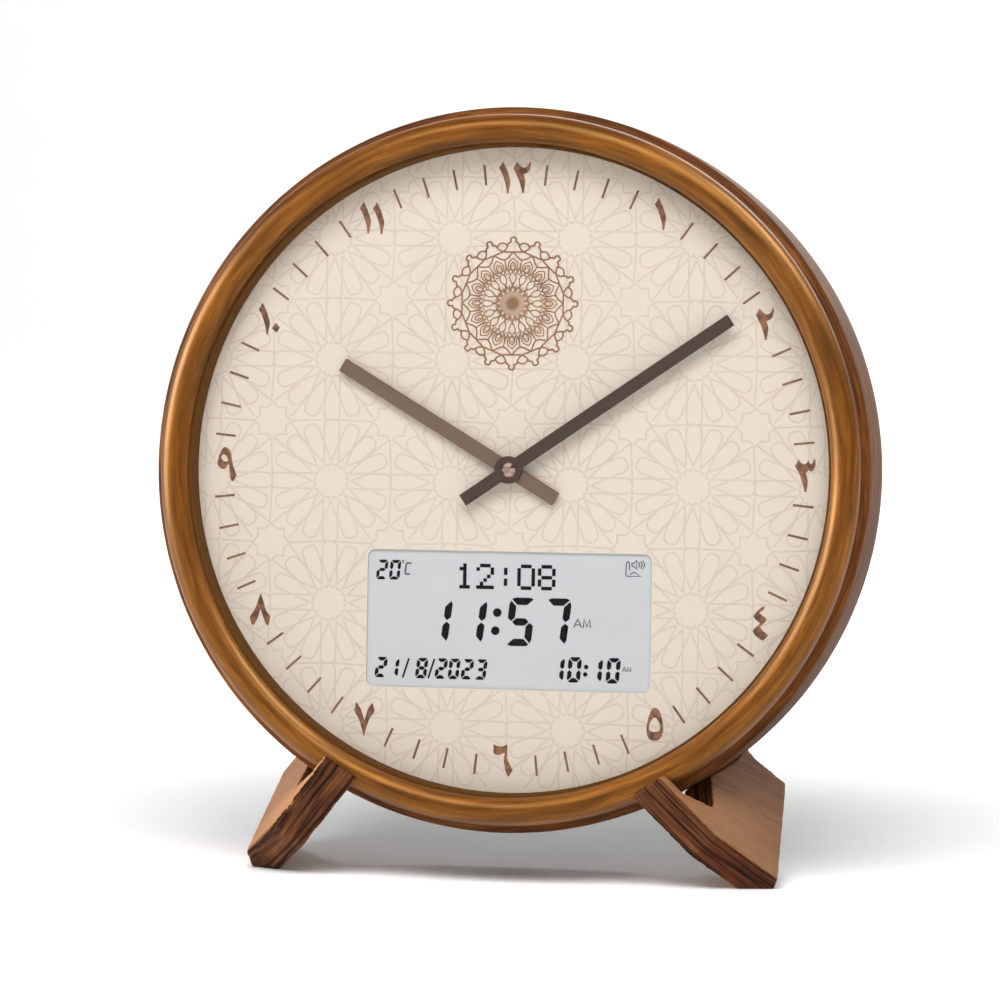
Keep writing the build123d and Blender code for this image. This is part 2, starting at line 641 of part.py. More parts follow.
def push_button(z):
    """Round key with a flange under the rear cover and a stem over its switch."""
    flange_back = COVER_SEAT_Y - 0.05
    key = disc(BUTTON_R, flange_back, COVER_BACK_Y + 1.2, BUTTON_X, z)
    key = chamfer(key.faces().sort_by(Axis.Y)[-1].edges(), 0.4)
    key += disc(BUTTON_R + 1.0, flange_back - 1.2, flange_back, BUTTON_X, z)
    return key + disc(1.6, SWITCH_TOP_Y + BUTTON_TRAVEL + 0.1, flange_back - 1.2, BUTTON_X, z)


def switch_body():
    face = BUTTON_BOARD_BACK_Y
    middle = SLIDER_Z + SLIDER_TRAVEL / 2
    body = box(BUTTON_X - 3.5, BUTTON_X + 3.5, face, face + 4.6, middle - 7, middle + 7)
    groove = box(BUTTON_X - 1.7, BUTTON_X + 1.7, face + 1.6, face + 6, middle - 5.4, middle + 5.4)
    return body - groove


def switch_slider():
    face = BUTTON_BOARD_BACK_Y
    foot = box(BUTTON_X - 1.5, BUTTON_X + 1.5, face + 1.7, face + 4.4, SLIDER_Z - 2.6, SLIDER_Z + 2.6)
    stem = box(BUTTON_X - 1.3, BUTTON_X + 1.3, face + 4.4, COVER_BACK_Y + 1.3, SLIDER_Z - 1.4, SLIDER_Z + 1.4)
    return foot + stem


# ---- wires: each ends on a solder joint ----
def speaker_leads():
    wires = []
    for x in (-3.0, 3.0):
        points = [(x, 25.6, 50.6), (x, 25.6, 30.0), (x, 20.0, 4.0), (x, 20.0, -26.0),
                  (x, BOARD_BACK_Y, -26.0)]
        wires.append(lead(points, LEAD_R, 4.0))
    return wires


def battery_leads():
    wires = []
    for z in (-66.0, -74.0):
        points = [(BOX_END_X, 21.0, z), (45.0, 21.0, z), (45.0, BOARD_BACK_Y, z)]
        wires.append(lead(points, LEAD_R, 3.0))
    return wires


def button_leads():
    wires = []
    for z in (-30.0, -33.0, -36.0):
        points = [(BUTTON_X + 7, 27.8, z), (-52.0, 27.8, z), (-52.0, BOARD_BACK_Y, z)]
        wires.append(lead(points, LEAD_R, 4.0))
    return wires


# ---- feet ----
def foot_plane(plank):
    """Plane of the plank's outer face: its x axis is u and its y axis is v."""
    turned_plane = Rot(0, 0, plank["turn"]) * Rot(0, plank["slope"], 0) * Rot(plank["roll"], 0, 0)
    return Plane(Pos(*plank["tip"]) * turned_plane)


def half_space(points, keep):
    """Large block bounded by the plane through three points, on the side of keep."""
    a, b, c = (Vector(*point) for point in points)
    normal = (b - a).cross(c - a).normalized()
    if normal.dot(Vector(*keep) - a) < 0:
        normal = normal * -1
    return extrude(Plane(origin=a, z_dir=normal) * Rectangle(400, 400), 400)


def world_point(plane, spot, depth=0.0):
    return tuple(plane.from_local_coords(Vector(spot[0], spot[1], -depth)))


def foot_outline(plank):
    """Outline of the outer face, drawn on past the corners that the bevel and the floor cut off."""
    knee, toe, rear = plank["knee"], plank["toe"], plank["rear"]
    below_toe = (knee[0] + 1.3 * (toe[0] - knee[0]), knee[1] + 1.3 * (toe[1] - knee[1]))
    below_rear = (rear[0] + 45, rear[1])
    return [TIP_FRONT, TIP_BACK, HOOK_ROOT, GAP_BOTTOM, SEAT_FRONT, SEAT_BACK, LIP_FRONT, LIP_BACK,
            REAR_TOP, rear, below_rear, below_toe, knee]


def foot_screw_parts(plane):
    """Shank and head of the screw that runs up the plank into the ring."""
    middle = -FOOT_T / 2
    along = Plane(plane.location * Location((0, FOOT_SCREW_V, middle), (0, 90, 0)))
    shank_length = FOOT_SCREW_HEAD_U - FOOT_SCREW_TIP_U
    shank = extrude(along.offset(FOOT_SCREW_TIP_U) * Circle(FOOT_SCREW_R), shank_length)
    head = extrude(along.offset(FOOT_SCREW_HEAD_U) * Circle(FOOT_SCREW_HEAD_R), 2.2)
    bore = extrude(along.offset(FOOT_SCREW_HEAD_U) * Circle(FOOT_SCREW_HEAD_R), 60)
    slot = extrude(along.offset(FOOT_SCREW_HEAD_U + 1.2) * Rectangle(0.9, 4.4), 2)
    return shank, head - slot, bore


def right_hand_foot(plank, ring_envelope):
    """Wooden foot, as on the right side, and its screw."""
    plane = foot_plane(plank)
    outline = [Vector(u, v) for u, v in foot_outline(plank)]
    face = plane * make_face(Polyline(*outline, close=True))
    foot = extrude(face, -FOOT_T)
    toe = world_point(plane, plank["toe"])
    rear = world_point(plane, plank["rear"])
    heel = (plank["heel"][0], plank["heel"][1], FOOT_FLOOR)
    foot &= half_space((toe, rear, heel), (0, 0, FOOT_FLOOR))
    foot &= half_space(((0, 0, FOOT_FLOOR), (1, 0, FOOT_FLOOR), (0, 1, FOOT_FLOOR)), (0, 0, 0))
    shank, head, bore = foot_screw_parts(plane)
    foot -= shank
    foot -= bore
    return foot - ring_envelope, shank + head


def mirrored(shape):
    return mirror(shape, Plane.YZ)


def write(name, shape):
    if isinstance(shape, list):
        shape = Compound(children=shape)
    export_step(shape, os.path.join("parts", name + ".step"))
    return shape


def main():
    os.makedirs("parts", exist_ok=True)
    nodes = {}
    leaned_ring = Rot(-LEAN, 0, 0) * wooden_frame()
    envelope = Rot(-LEAN, 0, 0) * turned(ring_section(100.0))
    right_foot, right_screw = right_hand_foot(RIGHT_PLANK, envelope)
    left_foot, left_screw = [mirrored(piece) for piece in right_hand_foot(LEFT_PLANK, envelope)]
    screw_pair = [right_screw, left_screw]
    leaned_ring -= screw_pair
    nodes["wooden_frame"] = stand(leaned_ring)
    nodes["right_foot"] = stand(right_foot)
    nodes["left_foot"] = stand(left_foot)
    nodes["foot_screws"] = [stand(piece) for piece in screw_pair]

    builders = [front_lens, spacer_ring, dial_plate, retaining_ring, lcd_panel, lcd_holder,
                lcd_contact_strips, main_board, board_chips, board_screws, movement_case, movement_cover,
                motor_block, shaft_washer, shaft_nut, minute_arbor, hour_wheel, motion_wheel,
                setting_arbor, setting_knob, hour_hand, minute_hand, hand_cap, back_cover, battery_door,
                back_cover_screws, battery_box, batteries, battery_contacts, battery_springs,
                speaker_basket, speaker_magnet, speaker_cone, button_board, button_switches,
                switch_body, switch_slider, speaker_leads, battery_leads, button_leads]
    for builder in builders:
        shape = builder()
        pieces = [place(piece) for piece in shape] if isinstance(shape, list) else place(shape)
        nodes[builder.__name__] = pieces
    for name, z in BUTTON_Z.items():
        nodes[name] = place(push_button(z))

    boxes = []
    for name, shape in nodes.items():
        boxes.append(write(name, shape).bounding_box())
    low = [min(getattr(b.min, axis) for b in boxes) for axis in "XYZ"]
    high = [max(getattr(b.max, axis) for b in boxes) for axis in "XYZ"]
    print("nodes", len(nodes))
    print("box", [round(value, 3) for value in low], [round(value, 3) for value in high])
    print("middle of depth", round((low[1] + high[1]) / 2, 3))
    for label, spot in (("dial centre", (0, 0, 0)), ("motion wheel", (MOTION_X, 0, MOTION_Z)),
                        ("setting arbor", (SETTER_X, 0, SETTER_Z)),
                        ("door hinge", (0, HINGE_Y, DOOR_AXIS_Z))):
        centre = place(Pos(*spot) * Sphere(1)).center()
        print(label, [round(value, 4) for value in centre])


main()
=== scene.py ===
"""Azan clock: the looks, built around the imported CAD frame.

Pieces of the case are drawn in millimetres about the dial's centre: x to the right, y to the back
and z up, with the dial's front at y = 0. CASE leans them back and lifts them to their height.
Drawings on the dial are laid out in DOT, the size of one dot of the printed artwork.
"""

import math

import bpy
import numpy as np
from mathutils import Matrix, Vector, noise
from mathutils.geometry import tessellate_polygon


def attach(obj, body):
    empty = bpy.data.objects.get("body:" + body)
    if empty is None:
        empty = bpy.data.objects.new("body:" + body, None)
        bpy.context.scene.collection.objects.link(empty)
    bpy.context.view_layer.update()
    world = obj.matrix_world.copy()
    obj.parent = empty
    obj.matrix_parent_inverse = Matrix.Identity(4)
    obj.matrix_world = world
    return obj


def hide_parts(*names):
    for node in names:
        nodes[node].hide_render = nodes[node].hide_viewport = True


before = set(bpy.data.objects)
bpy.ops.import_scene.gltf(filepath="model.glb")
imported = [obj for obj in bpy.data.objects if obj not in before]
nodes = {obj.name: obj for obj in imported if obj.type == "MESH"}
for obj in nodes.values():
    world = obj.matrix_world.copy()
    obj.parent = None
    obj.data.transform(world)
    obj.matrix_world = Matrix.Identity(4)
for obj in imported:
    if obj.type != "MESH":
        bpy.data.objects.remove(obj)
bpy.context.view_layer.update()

MM = 0.001
DOT = 0.351                    # millimetres
LEAN = math.radians(5.0)
DIAL_CENTRE = Vector((0.0, -10.495, 144.5))
CASE = Matrix.Scale(MM, 4) @ Matrix.Translation(DIAL_CENTRE) @ Matrix.Rotation(-LEAN, 4, "X")
DIAL_OPEN_R = 113.2            # inner wall of the spacer
NUT_R = 4.8
WINDOW = (50.85, 24.25, -52.9)     # half width, half height and middle height of the display window
LCD_FACE_Y = 1.0
INK_STEP, INK_STEPS = 0.00035, 89  # the lines of a drawing lie at this many depths, a step apart
WHITE = (1.0, 1.0, 1.0)


# ---------------------------------------------------------------- mesh helpers
def add_mesh(name, verts, faces, matrix, material, body, smooth=None):
    """New piece from points and faces. smooth is the angle, in degrees, under which edges are smooth."""
    mesh = bpy.data.meshes.new(name)
    mesh.from_pydata([matrix @ Vector(v) for v in verts], [], faces)
    mesh.materials.append(material)
    if smooth is not None:
        mesh.shade_smooth()
        mesh.set_sharp_from_angle(angle=math.radians(smooth))
    mesh.update()
    obj = bpy.data.objects.new(name, mesh)
    bpy.context.scene.collection.objects.link(obj)
    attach(obj, body)
    return obj


def set_vectors(obj, name, values):
    """Stores one vector for each point of the mesh."""
    layer = obj.data.attributes.new(name, "FLOAT_VECTOR", "POINT")
    layer.data.foreach_set("vector", np.asarray(values, dtype=np.float32).ravel())


def read(items, name, size, kind=float):
    """One property of all items, as an array with a row for each."""
    values = np.empty(len(items) * size, dtype=kind)
    items.foreach_get(name, values)
    return values.reshape(-1, size)


class Ink:
    """Flat drawing on a face: thin closed solids between the depths front and back.

    Each line lies a hair in front of the one before, so lines that cross don't share a face.
    """

    def __init__(self, front, back):
        self.front = front
        self.back = back
        self.lines = 0
        self.verts = []
        self.faces = []

    def line(self, points, width, closed=False):
        """A line of that width through the points, with mitred corners."""
        count = len(points)
        if count < 2:
            return
        left, right = [], []
        for index, (x, z) in enumerate(points):
            before = points[index - 1] if closed or index else None
            after = points[(index + 1) % count] if closed or index < count - 1 else None
            dirs = []
            if before:
                dirs.append(Vector((x - before[0], z - before[1])))
            if after:
                dirs.append(Vector((after[0] - x, after[1] - z)))
            dirs = [d.normalized() for d in dirs if d.length > 1e-6]
            if not dirs:
                dirs = [Vector((1, 0))]
            along = dirs[0] + dirs[-1]
            along = along.normalized() if along.length > 0.2 else dirs[0]
            across = Vector((-along.y, along.x))
            stretch = max(0.55, abs(across.dot(Vector((-dirs[0].y, dirs[0].x)))))
            reach = across * (width / 2 / stretch)
            left.append((x + reach.x, z + reach.y))
            right.append((x - reach.x, z - reach.y))
        self.lines = (self.lines + 1) % INK_STEPS
        front = self.front - INK_STEP * self.lines
        base = len(self.verts)
        for (lx, lz), (rx, rz) in zip(left, right):
            self.verts += [(lx, front, lz), (rx, front, rz), (rx, self.back, rz), (lx, self.back, lz)]
        spans = count if closed else count - 1
        for index in range(spans):
            a = base + 4 * index
            b = base + 4 * ((index + 1) % count)
            for side in range(4):
                turn = (side + 1) % 4
                self.faces.append((a + side, b + side, b + turn, a + turn))
        if not closed:
            self.faces.append((base, base + 1, base + 2, base + 3))
            end = base + 4 * (count - 1)
            self.faces.append((end + 3, end + 2, end + 1, end))

    def area(self, outline, holes=()):
        """A filled outline with holes."""
        rings = [list(outline)] + [list(hole) for hole in holes]
        flat = [point for ring in rings for point in ring]
        count = len(flat)
        base = len(self.verts)
        self.verts += [(x, self.front, z) for x, z in flat]
        self.verts += [(x, self.back, z) for x, z in flat]
        tris = tessellate_polygon([[Vector((x, z, 0)) for x, z in ring] for ring in rings])
        for a, b, c in tris:
            (ax, az), (bx, bz), (cx, cz) = flat[a], flat[b], flat[c]
            if (bx - ax) * (cz - az) - (bz - az) * (cx - ax) < 0:
                b, c = c, b
            self.faces.append((base + a, base + b, base + c))
            self.faces.append((base + count + a, base + count + c, base + count + b))
        start = 0
        for ring in rings:
            size = len(ring)
            turn = sum(ring[i - 1][0] * ring[i][1] - ring[i][0] * ring[i - 1][1] for i in range(size))
            inward = (turn > 0) != (ring is rings[0])
            for index in range(size):
                a = base + start + index
                b = base + start + (index + 1) % size
                quad = (a, b, b + count, a + count)
                self.faces.append(quad if inward else quad[::-1])
            start += size

    def disc(self, x, z, radius, steps=20):
        self.area([(x + radius * math.cos(2 * math.pi * k / steps),
                    z + radius * math.sin(2 * math.pi * k / steps)) for k in range(steps)])

    def piece(self, name, material):
        return add_mesh(name, self.verts, self.faces, CASE, material, "case")


def smooth_outline(points, steps=4, corner=50):
    """Closed outline with round stretches drawn through its points. Sharp corners stay sharp."""
    count = len(points)
    pts = [Vector(p) for p in points]
    dirs = [(pts[(i + 1) % count] - pts[i]).normalized() for i in range(count)]
    sharp = [dirs[i - 1].angle(dirs[i]) > math.radians(corner) for i in range(count)]
    out = []
    for i in range(count):
        a, b = pts[i], pts[(i + 1) % count]
        chord = b - a
        ta = chord if sharp[i] else (b - pts[i - 1]) * 0.5
        tb = chord if sharp[(i + 1) % count] else (pts[(i + 2) % count] - a) * 0.5
        for k in range(steps):
            t = k / steps
            h1 = 2 * t ** 3 - 3 * t ** 2 + 1
            h2 = t ** 3 - 2 * t ** 2 + t
            h3 = 3 * t ** 2 - 2 * t ** 3
            h4 = t ** 3 - t ** 2
            p = a * h1 + ta * h2 + b * h3 + tb * h4
            out.append((p.x, p.y))
    return out


def arc3(a, m, b, steps):
    """Points of the arc from a through m to b, without b."""
    ax, ay, mx, my, bx, by = *a, *m, *b
    d = 2 * (ax * (my - by) + mx * (by - ay) + bx * (ay - my))
    sa, sm, sb = ax * ax + ay * ay, mx * mx + my * my, bx * bx + by * by
    cx = (sa * (my - by) + sm * (by - ay) + sb * (ay - my)) / d
    cy = (sa * (bx - mx) + sm * (ax - bx) + sb * (mx - ax)) / d
    radius = math.hypot(ax - cx, ay - cy)
    start, middle, end = (math.atan2(y - cy, x - cx) for x, y in (a, m, b))
    full = 2 * math.pi
    sweep = (end - start) % full
    if (middle - start) % full > sweep:
        sweep -= full
    return [(cx + radius * math.cos(start + sweep * k / steps),
             cy + radius * math.sin(start + sweep * k / steps)) for k in range(steps)]


# ---------------------------------------------------------------- materials
class Shader:
    """A node material. Its methods add nodes and return the socket to go on with."""

    def __init__(self, name, **inputs):
        self.mat = bpy.data.materials.new(name)
        self.mat.use_nodes = True
        self.tree = self.mat.node_tree
        self.bsdf = self.tree.nodes["Principled BSDF"]
        for key, value in inputs.items():
            self.bsdf.inputs[key.replace("_", " ")].default_value = value

    def node(self, kind, sockets=None, **settings):
        node = self.tree.nodes.new(kind)
        for key, value in settings.items():
            setattr(node, key, value)
        for key, value in (sockets or {}).items():
            if isinstance(value, bpy.types.NodeSocket):
                self.tree.links.new(value, node.inputs[key])
            else:
                node.inputs[key].default_value = value
        return node

    def place(self, scale, attribute=None, rotation=(0, 0, 0)):
        """Coordinates in millimetres, each axis times its scale."""
        if attribute:
            source = self.node("ShaderNodeAttribute", attribute_name=attribute).outputs["Vector"]
            factor = scale
        else:
            source = self.node("ShaderNodeTexCoord").outputs["Object"]
            factor = [s / MM for s in scale]
        return self.node("ShaderNodeMapping", {"Vector": source, "Scale": factor,
                                               "Rotation": rotation}).outputs["Vector"]

    def noise(self, vector, detail=3.0, roughness=0.55, distortion=0.0):
        return self.node("ShaderNodeTexNoise", {"Vector": vector, "Scale": 1.0, "Detail": detail,
                                                "Roughness": roughness,
                                                "Distortion": distortion}).outputs["Fac"]

    def ramp(self, factor, stops):
        node = self.node("ShaderNodeValToRGB", {"Fac": factor})
        band = node.color_ramp
        while len(band.elements) < len(stops):
            band.elements.new(0.5)
        for element, (spot, colour) in zip(band.elements, stops):
            element.position = spot
            if isinstance(colour, (int, float)):
                colour = (colour, colour, colour)
            element.color = (*colour, 1.0)
        return node.outputs["Color"]

    def mix(self, factor, a, b, blend="MIX"):
        a, b = (value if isinstance(value, bpy.types.NodeSocket) else (*value, 1.0) for value in (a, b))
        return self.node("ShaderNodeMix", {0: factor, 6: a, 7: b}, data_type="RGBA",
                         blend_type=blend).outputs[2]

    def times(self, tone, factor, *stops):
        """tone times the ramp's colour at factor."""
        return self.mix(1.0, tone, self.ramp(factor, stops), "MULTIPLY")

    def sum(self, a, b):
        return self.node("ShaderNodeMath", {0: a, 1: b}, operation="ADD").outputs[0]

    def shift(self, vector, height, direction):
        """vector plus height times direction."""
        offset = self.node("ShaderNodeVectorMath", {0: direction, "Scale": height}, operation="SCALE")
        return self.node("ShaderNodeVectorMath", {0: vector, 1: offset.outputs[0]}).outputs[0]

    def colour(self, socket):
        self.tree.links.new(socket, self.bsdf.inputs["Base Color"])

    def rough(self, factor, low, high):
        self.tree.links.new(self.ramp(factor, ((0.0, low), (1.0, high))), self.bsdf.inputs["Roughness"])

    def bump(self, height, depth, strength=1.0):
        """Relief of that depth in millimetres."""
        node = self.node("ShaderNodeBump", {"Height": height, "Strength": strength, "Distance": depth * MM})
        self.tree.links.new(node.outputs[0], self.bsdf.inputs["Normal"])


def ring_wood(name, roughness, **inputs):
    """Golden brown oiled wood. grain holds two coordinates round the ring and one across it."""
    s = Shader(name, **inputs)
    drift = s.noise(s.place((0.022, 0.022, 0.03), "grain"), 2.0)
    bands = s.noise(s.shift(s.place((0.030, 0.030, 0.42), "grain"), drift, (0, 0, 4)), 3.0, 0.5, 0.15)
    streaks = s.noise(s.shift(s.place((0.055, 0.055, 1.5), "grain"), drift, (0, 0, 9)), 3.0, 0.6, 0.1)
    fibres = s.noise(s.place((0.10, 0.10, 2.8), "grain"), 3.0, 0.6)
    patches = s.noise(s.place((0.020, 0.020, 0.05), "grain"), 2.0)
    tone = s.ramp(bands, ((0.30, (0.052, 0.016, 0.0018)), (0.45, (0.092, 0.029, 0.0032)),
                          (0.58, (0.132, 0.044, 0.0050)), (0.74, (0.200, 0.072, 0.0100))))
    tone = s.times(tone, streaks, (0.30, (0.44, 0.37, 0.30)), (0.42, (0.88, 0.86, 0.84)),
                   (0.62, (1.10, 1.08, 1.06)))
    tone = s.times(tone, fibres, (0.36, (0.66, 0.60, 0.56)), (0.56, (1.08, 1.08, 1.08)))
    tone = s.times(tone, patches, (0.35, (0.86, 0.82, 0.78)), (0.65, (1.10, 1.08, 1.06)))
    s.colour(tone)
    s.rough(streaks, roughness + 0.06, roughness - 0.06)
    s.bump(s.sum(fibres, streaks), 0.03, 0.5)
    return s.mat


def foot_wood():
    """Dark walnut plank: quiet broad faces, edges with strong stripes, and painted shade on the right
    plank's edge strip below its knee.
    """
    s = Shader("foot_walnut", Roughness=0.60, Specular_IOR_Level=0.08)
    kind = s.node("ShaderNodeSeparateXYZ", {
        "Vector": s.node("ShaderNodeAttribute", attribute_name="kind").outputs["Vector"]})
    edge, back, low = (kind.outputs[axis] for axis in "XYZ")
    wave = s.noise(s.place((0.018, 0.05, 0.05), "grain"), 2.0)
    broad = s.noise(s.shift(s.place((0.012, 0.11, 0.11), "grain"), wave, (0, 2, 1.2)), 3.0, 0.5)
    lines = s.noise(s.shift(s.place((0.014, 0.62, 0.62), "grain"), wave, (0, 4, 2.4)), 3.0, 0.6)
    pores = s.noise(s.place((0.14, 3.2, 3.2), "grain"), 3.0, 0.65)
    patches = s.noise(s.place((0.05, 0.12, 0.12), "grain"), 3.0)
    face = s.mix(back, (0.335, 0.163, 0.074), (0.215, 0.104, 0.054))
    face = s.times(face, broad, (0.30, (0.80, 0.76, 0.73)), (0.50, WHITE), (0.70, (1.14, 1.12, 1.10)))
    face = s.times(face, lines, (0.30, (0.62, 0.58, 0.56)), (0.36, (0.94, 0.93, 0.92)),
                   (0.60, (1.04, 1.04, 1.04)))
    stripes = s.ramp(lines, ((0.38, (0.016, 0.005, 0.003)), (0.46, (0.060, 0.021, 0.008)),
                             (0.53, (0.140, 0.053, 0.021)), (0.68, (0.095, 0.034, 0.013))))
    stripes = s.times(stripes, patches, (0.36, (0.55, 0.50, 0.48)), (0.60, (1.15, 1.10, 1.04)))
    # painted shade: below the right plank's knee, where the edge faces down, the stripes are made darker
    stripes = s.mix(low, stripes, s.mix(1.0, stripes, (0.90, 0.72, 0.64), "MULTIPLY"))
    tone = s.mix(edge, face, stripes)
    tone = s.times(tone, pores, (0.32, (0.72, 0.70, 0.69)), (0.50, WHITE), (0.75, (1.10, 1.10, 1.09)))
    s.colour(tone)
    s.rough(pores, 0.66, 0.48)
    s.bump(s.sum(pores, lines), 0.12, 0.7)
    return s.mat


def shade(colour, factor):
    """colour made lighter or darker."""
    return tuple(min(1.0, c * factor) for c in colour)


def moulded(name, colour, roughness=0.5, grain=0.5, depth=0.02, **inputs):
    """Moulded plastic or rubber with a fine surface texture. grain is its size in millimetres."""
    s = Shader(name, Roughness=roughness, **inputs)
    fine = s.noise(s.place([1.0 / grain] * 3), 2.0)
    wide = s.noise(s.place([0.03] * 3), 2.0)
    s.colour(s.mix(fine, s.mix(wide, shade(colour, 0.90), colour), shade(colour, 1.10)))
    s.rough(fine, roughness + 0.06, roughness - 0.06)
    s.bump(fine, depth)
    return s.mat


def brushed(name, colour, roughness, along):
    """Brushed metal. The brush marks run along the direction given."""
    s = Shader(name, Metallic=1.0, Roughness=roughness)
    scale = [0.25 if abs(a) > 0.5 else 7.0 for a in along]
    marks = s.noise(s.place(scale), 3.0, 0.7)
    haze = s.noise(s.place([0.05] * 3), 2.0)
    s.colour(s.mix(haze, s.mix(marks, shade(colour, 0.84), shade(colour, 1.16)), colour))
    s.rough(marks, roughness + 0.08, roughness - 0.08)
    s.bump(marks, 0.008)
    return s.mat


def hand_metal(name, degrees, colour):
    """Tinted metal brushed along the hand, which points degrees clockwise from twelve."""
    s = Shader(name, Metallic=0.75, Roughness=0.42)
    marks = s.noise(s.place((7.0, 7.0, 0.18), rotation=(0, -math.radians(degrees), 0)), 3.0, 0.7)
    s.colour(s.mix(marks, shade(colour, 0.82), shade(colour, 1.16)))
    s.rough(marks, 0.50, 0.36)
    s.bump(marks, 0.010)
    return s.mat


def paper_print():
    """Cream printed card with a very slight cloudiness."""
    s = Shader("dial_card", Roughness=0.62)
    cloud = s.noise(s.place([0.02] * 3), 3.0)
    tooth = s.noise(s.place([2.5] * 3), 2.0)
    tone = s.mix(cloud, (0.640, 0.560, 0.470), (0.665, 0.585, 0.495))
    s.colour(s.times(tone, tooth, (0.3, 0.975), (0.7, 1.0)))
    s.bump(tooth, 0.01, 0.4)
    return s.mat


def ink(name, dark, light, size=3.0, roughness=0.55, **inputs):
    """Printed ink that varies between two shades over size millimetres."""
    s = Shader(name, Roughness=roughness, **inputs)
    share = s.ramp(s.noise(s.place([1.0 / size] * 3), 1.0), ((0.35, 0.0), (0.65, 1.0)))
    s.colour(s.mix(share, dark, light))
    return s.mat


def lcd_face():
    """Grey reflective display with a faint mottle, behind a matt film."""
    s = Shader("lcd_face", Roughness=0.42)
    cloud = s.noise(s.place([0.06] * 3), 2.0)
    grit = s.noise(s.place([5.0] * 3), 2.0)
    tone = s.mix(cloud, (0.490, 0.505, 0.520), (0.515, 0.530, 0.545))
    s.colour(s.times(tone, grit, (0.3, 0.96), (0.7, 1.0)))
    return s.mat


def clear_pane():
    """Front pane, nearly invisible."""
    s = Shader("clear_pane", Roughness=0.04, Alpha=0.025)
    s.colour(s.mix(s.noise(s.place([0.01] * 3), 1.0), (0.10, 0.11, 0.11), (0.14, 0.15, 0.15)))
    return s.mat


# ---------------------------------------------------------------- the wooden ring
BEAD_FACES = 46            # of the ring's section, counted from the back of its inner wall


def ring_section():
    """Radius and depth of points round the ring's section, and the distance run at each."""
    lip_r, lip_y = 114.221, -11.0
    bead_r, middle = 5.2, (119.1, -9.2)
    turn = bead_r * math.sqrt(0.5)
    bead = (middle[0], middle[1] - bead_r)
    side = (124.3, -9.2)
    groove, edge = (123.2, -5.9), (126.2, -4.6)
    points = [(117.4, 35.0), (117.4, lip_y + 0.3), (117.1, lip_y)]
    points += arc3((lip_r, lip_y), (middle[0] - turn, middle[1] - turn), bead, 18)
    points += arc3(bead, (middle[0] + turn, middle[1] - turn), side, 18)
    points += arc3(side, (124.1, -7.3), groove, 8)
    points += [(groove[0] + share * (edge[0] - groove[0]), groove[1] + share * (edge[1] - groove[1]))
               for share in (0.05, 0.5, 0.95)]
    points += arc3(edge, (126.85, -4.2), (127.1, -3.5), 6)
    points += arc3((127.1, -3.5), (127.4, 15.0), (126.95, 34.7), 20)
    points += arc3((126.95, 34.7), (126.1, 37.1), (124.2, 38.5), 10)
    points += [(124.2, 38.5), (124.0, 38.5), (122.4, 38.5), (122.2, 38.3), (122.2, 35.0)]
    run, last = [0.0], points[0]
    for point in points[1:]:
        run.append(run[-1] + math.dist(point, last))
        last = point
    return points, run


def wooden_ring():
    """The ring, turned from its section. The bead is glossier than the groove and the band behind it."""
    section, run = ring_section()
    steps, grain_r = 480, 120
    count = len(section)
    verts, grain = [], []
    for index in range(steps):
        angle = 2 * math.pi * index / steps
        c, s = math.cos(angle), math.sin(angle)
        for (radius, depth), distance in zip(section, run):
            verts.append((radius * s, depth, radius * c))
            grain.append((grain_r * s, grain_r * c, distance))
    faces = []
    for index in range(steps):
        a = index * count
        b = ((index + 1) % steps) * count
        for k in range(count):
            n = (k + 1) % count
            faces.append((a + k, a + n, b + n, b + k))
    bead = ring_wood("ring_wood_bead", 0.35, Specular_IOR_Level=1.0, Specular_Tint=(1.0, 0.52, 0.17, 1.0))
    ring = add_mesh("turned_ring", verts, faces, CASE, bead, "case", 35)
    ring.data.materials.append(ring_wood("ring_wood_band", 0.62, Specular_IOR_Level=0.12))
    second = [int(k % count >= BEAD_FACES) for k in range(len(faces))]
    ring.data.polygons.foreach_set("material_index", second)
    set_vectors(ring, "grain", grain)
    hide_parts("wooden_frame")
    return ring


# ---------------------------------------------------------------- the feet
# Tip of each outer face, then the plank's slope, roll and turn in degrees. The left foot is drawn mirrored.
PLANKS = {1: ((58.0, -35.395, 42.8), 51.2, 15.0, -1.8), -1: ((60.9, -35.295, 46.1), 54.0, 14.2, 1.2)}
GRAIN_TURN = math.radians(41.0)
FOOT_VOXEL = 0.55
KNEE_U = 29.0                  # how far down the right plank its outer edge bends
EDGE_LINES = {1: 2.1, -1: 0.95}    # how close the stripes lie on the edges


def plank_axes(slope, roll, turn):
    """Directions down the slope, to the back and out of the outer face."""
    axes = Matrix.Rotation(math.radians(turn), 3, "Z") @ Matrix.Rotation(math.radians(slope), 3, "Y")
    axes = axes @ Matrix.Rotation(math.radians(roll), 3, "X")
    return [np.array(axes.col[k]) for k in range(3)]


def plank_grain(points, normals, side, seed):
    """Wood grain on a plank: slanted on its broad faces and lengthwise on its edges.

    The second result is 1 on the edges in x, how far back in y, and 1 below the right plank's knee in z,
    where the downward-facing strip gets painted shade.
    """
    tip, *turns = PLANKS[side]
    flip = np.array((side, 1.0, 1.0))
    axes = plank_axes(*turns)
    u, v, n = (((points * flip) - np.array(tip)) @ axis for axis in axes)
    facing = np.abs((normals * flip) @ axes[2])
    edge = np.clip((0.80 - facing) / 0.12, 0.0, 1.0)[:, None]
    c, s = math.cos(GRAIN_TURN), math.sin(GRAIN_TURN)
    broad = np.stack((u * c + v * s, v * c - u * s, 0.4 * n), axis=1)
    narrow = np.stack((0.85 * u + 0.5 * v, EDGE_LINES[side] * n + 40, 0.04 * v), axis=1)
    # mask for painted shade on the downward-facing strip below the right plank's knee
    low = np.clip((u - KNEE_U) / 0.8, 0.0, 1.0) * (side > 0)
    kind = np.stack((edge[:, 0], np.clip(v / 60.0, 0.0, 1.0), low), axis=1)
    return np.where(edge > 0.5, narrow, broad) + seed, kind


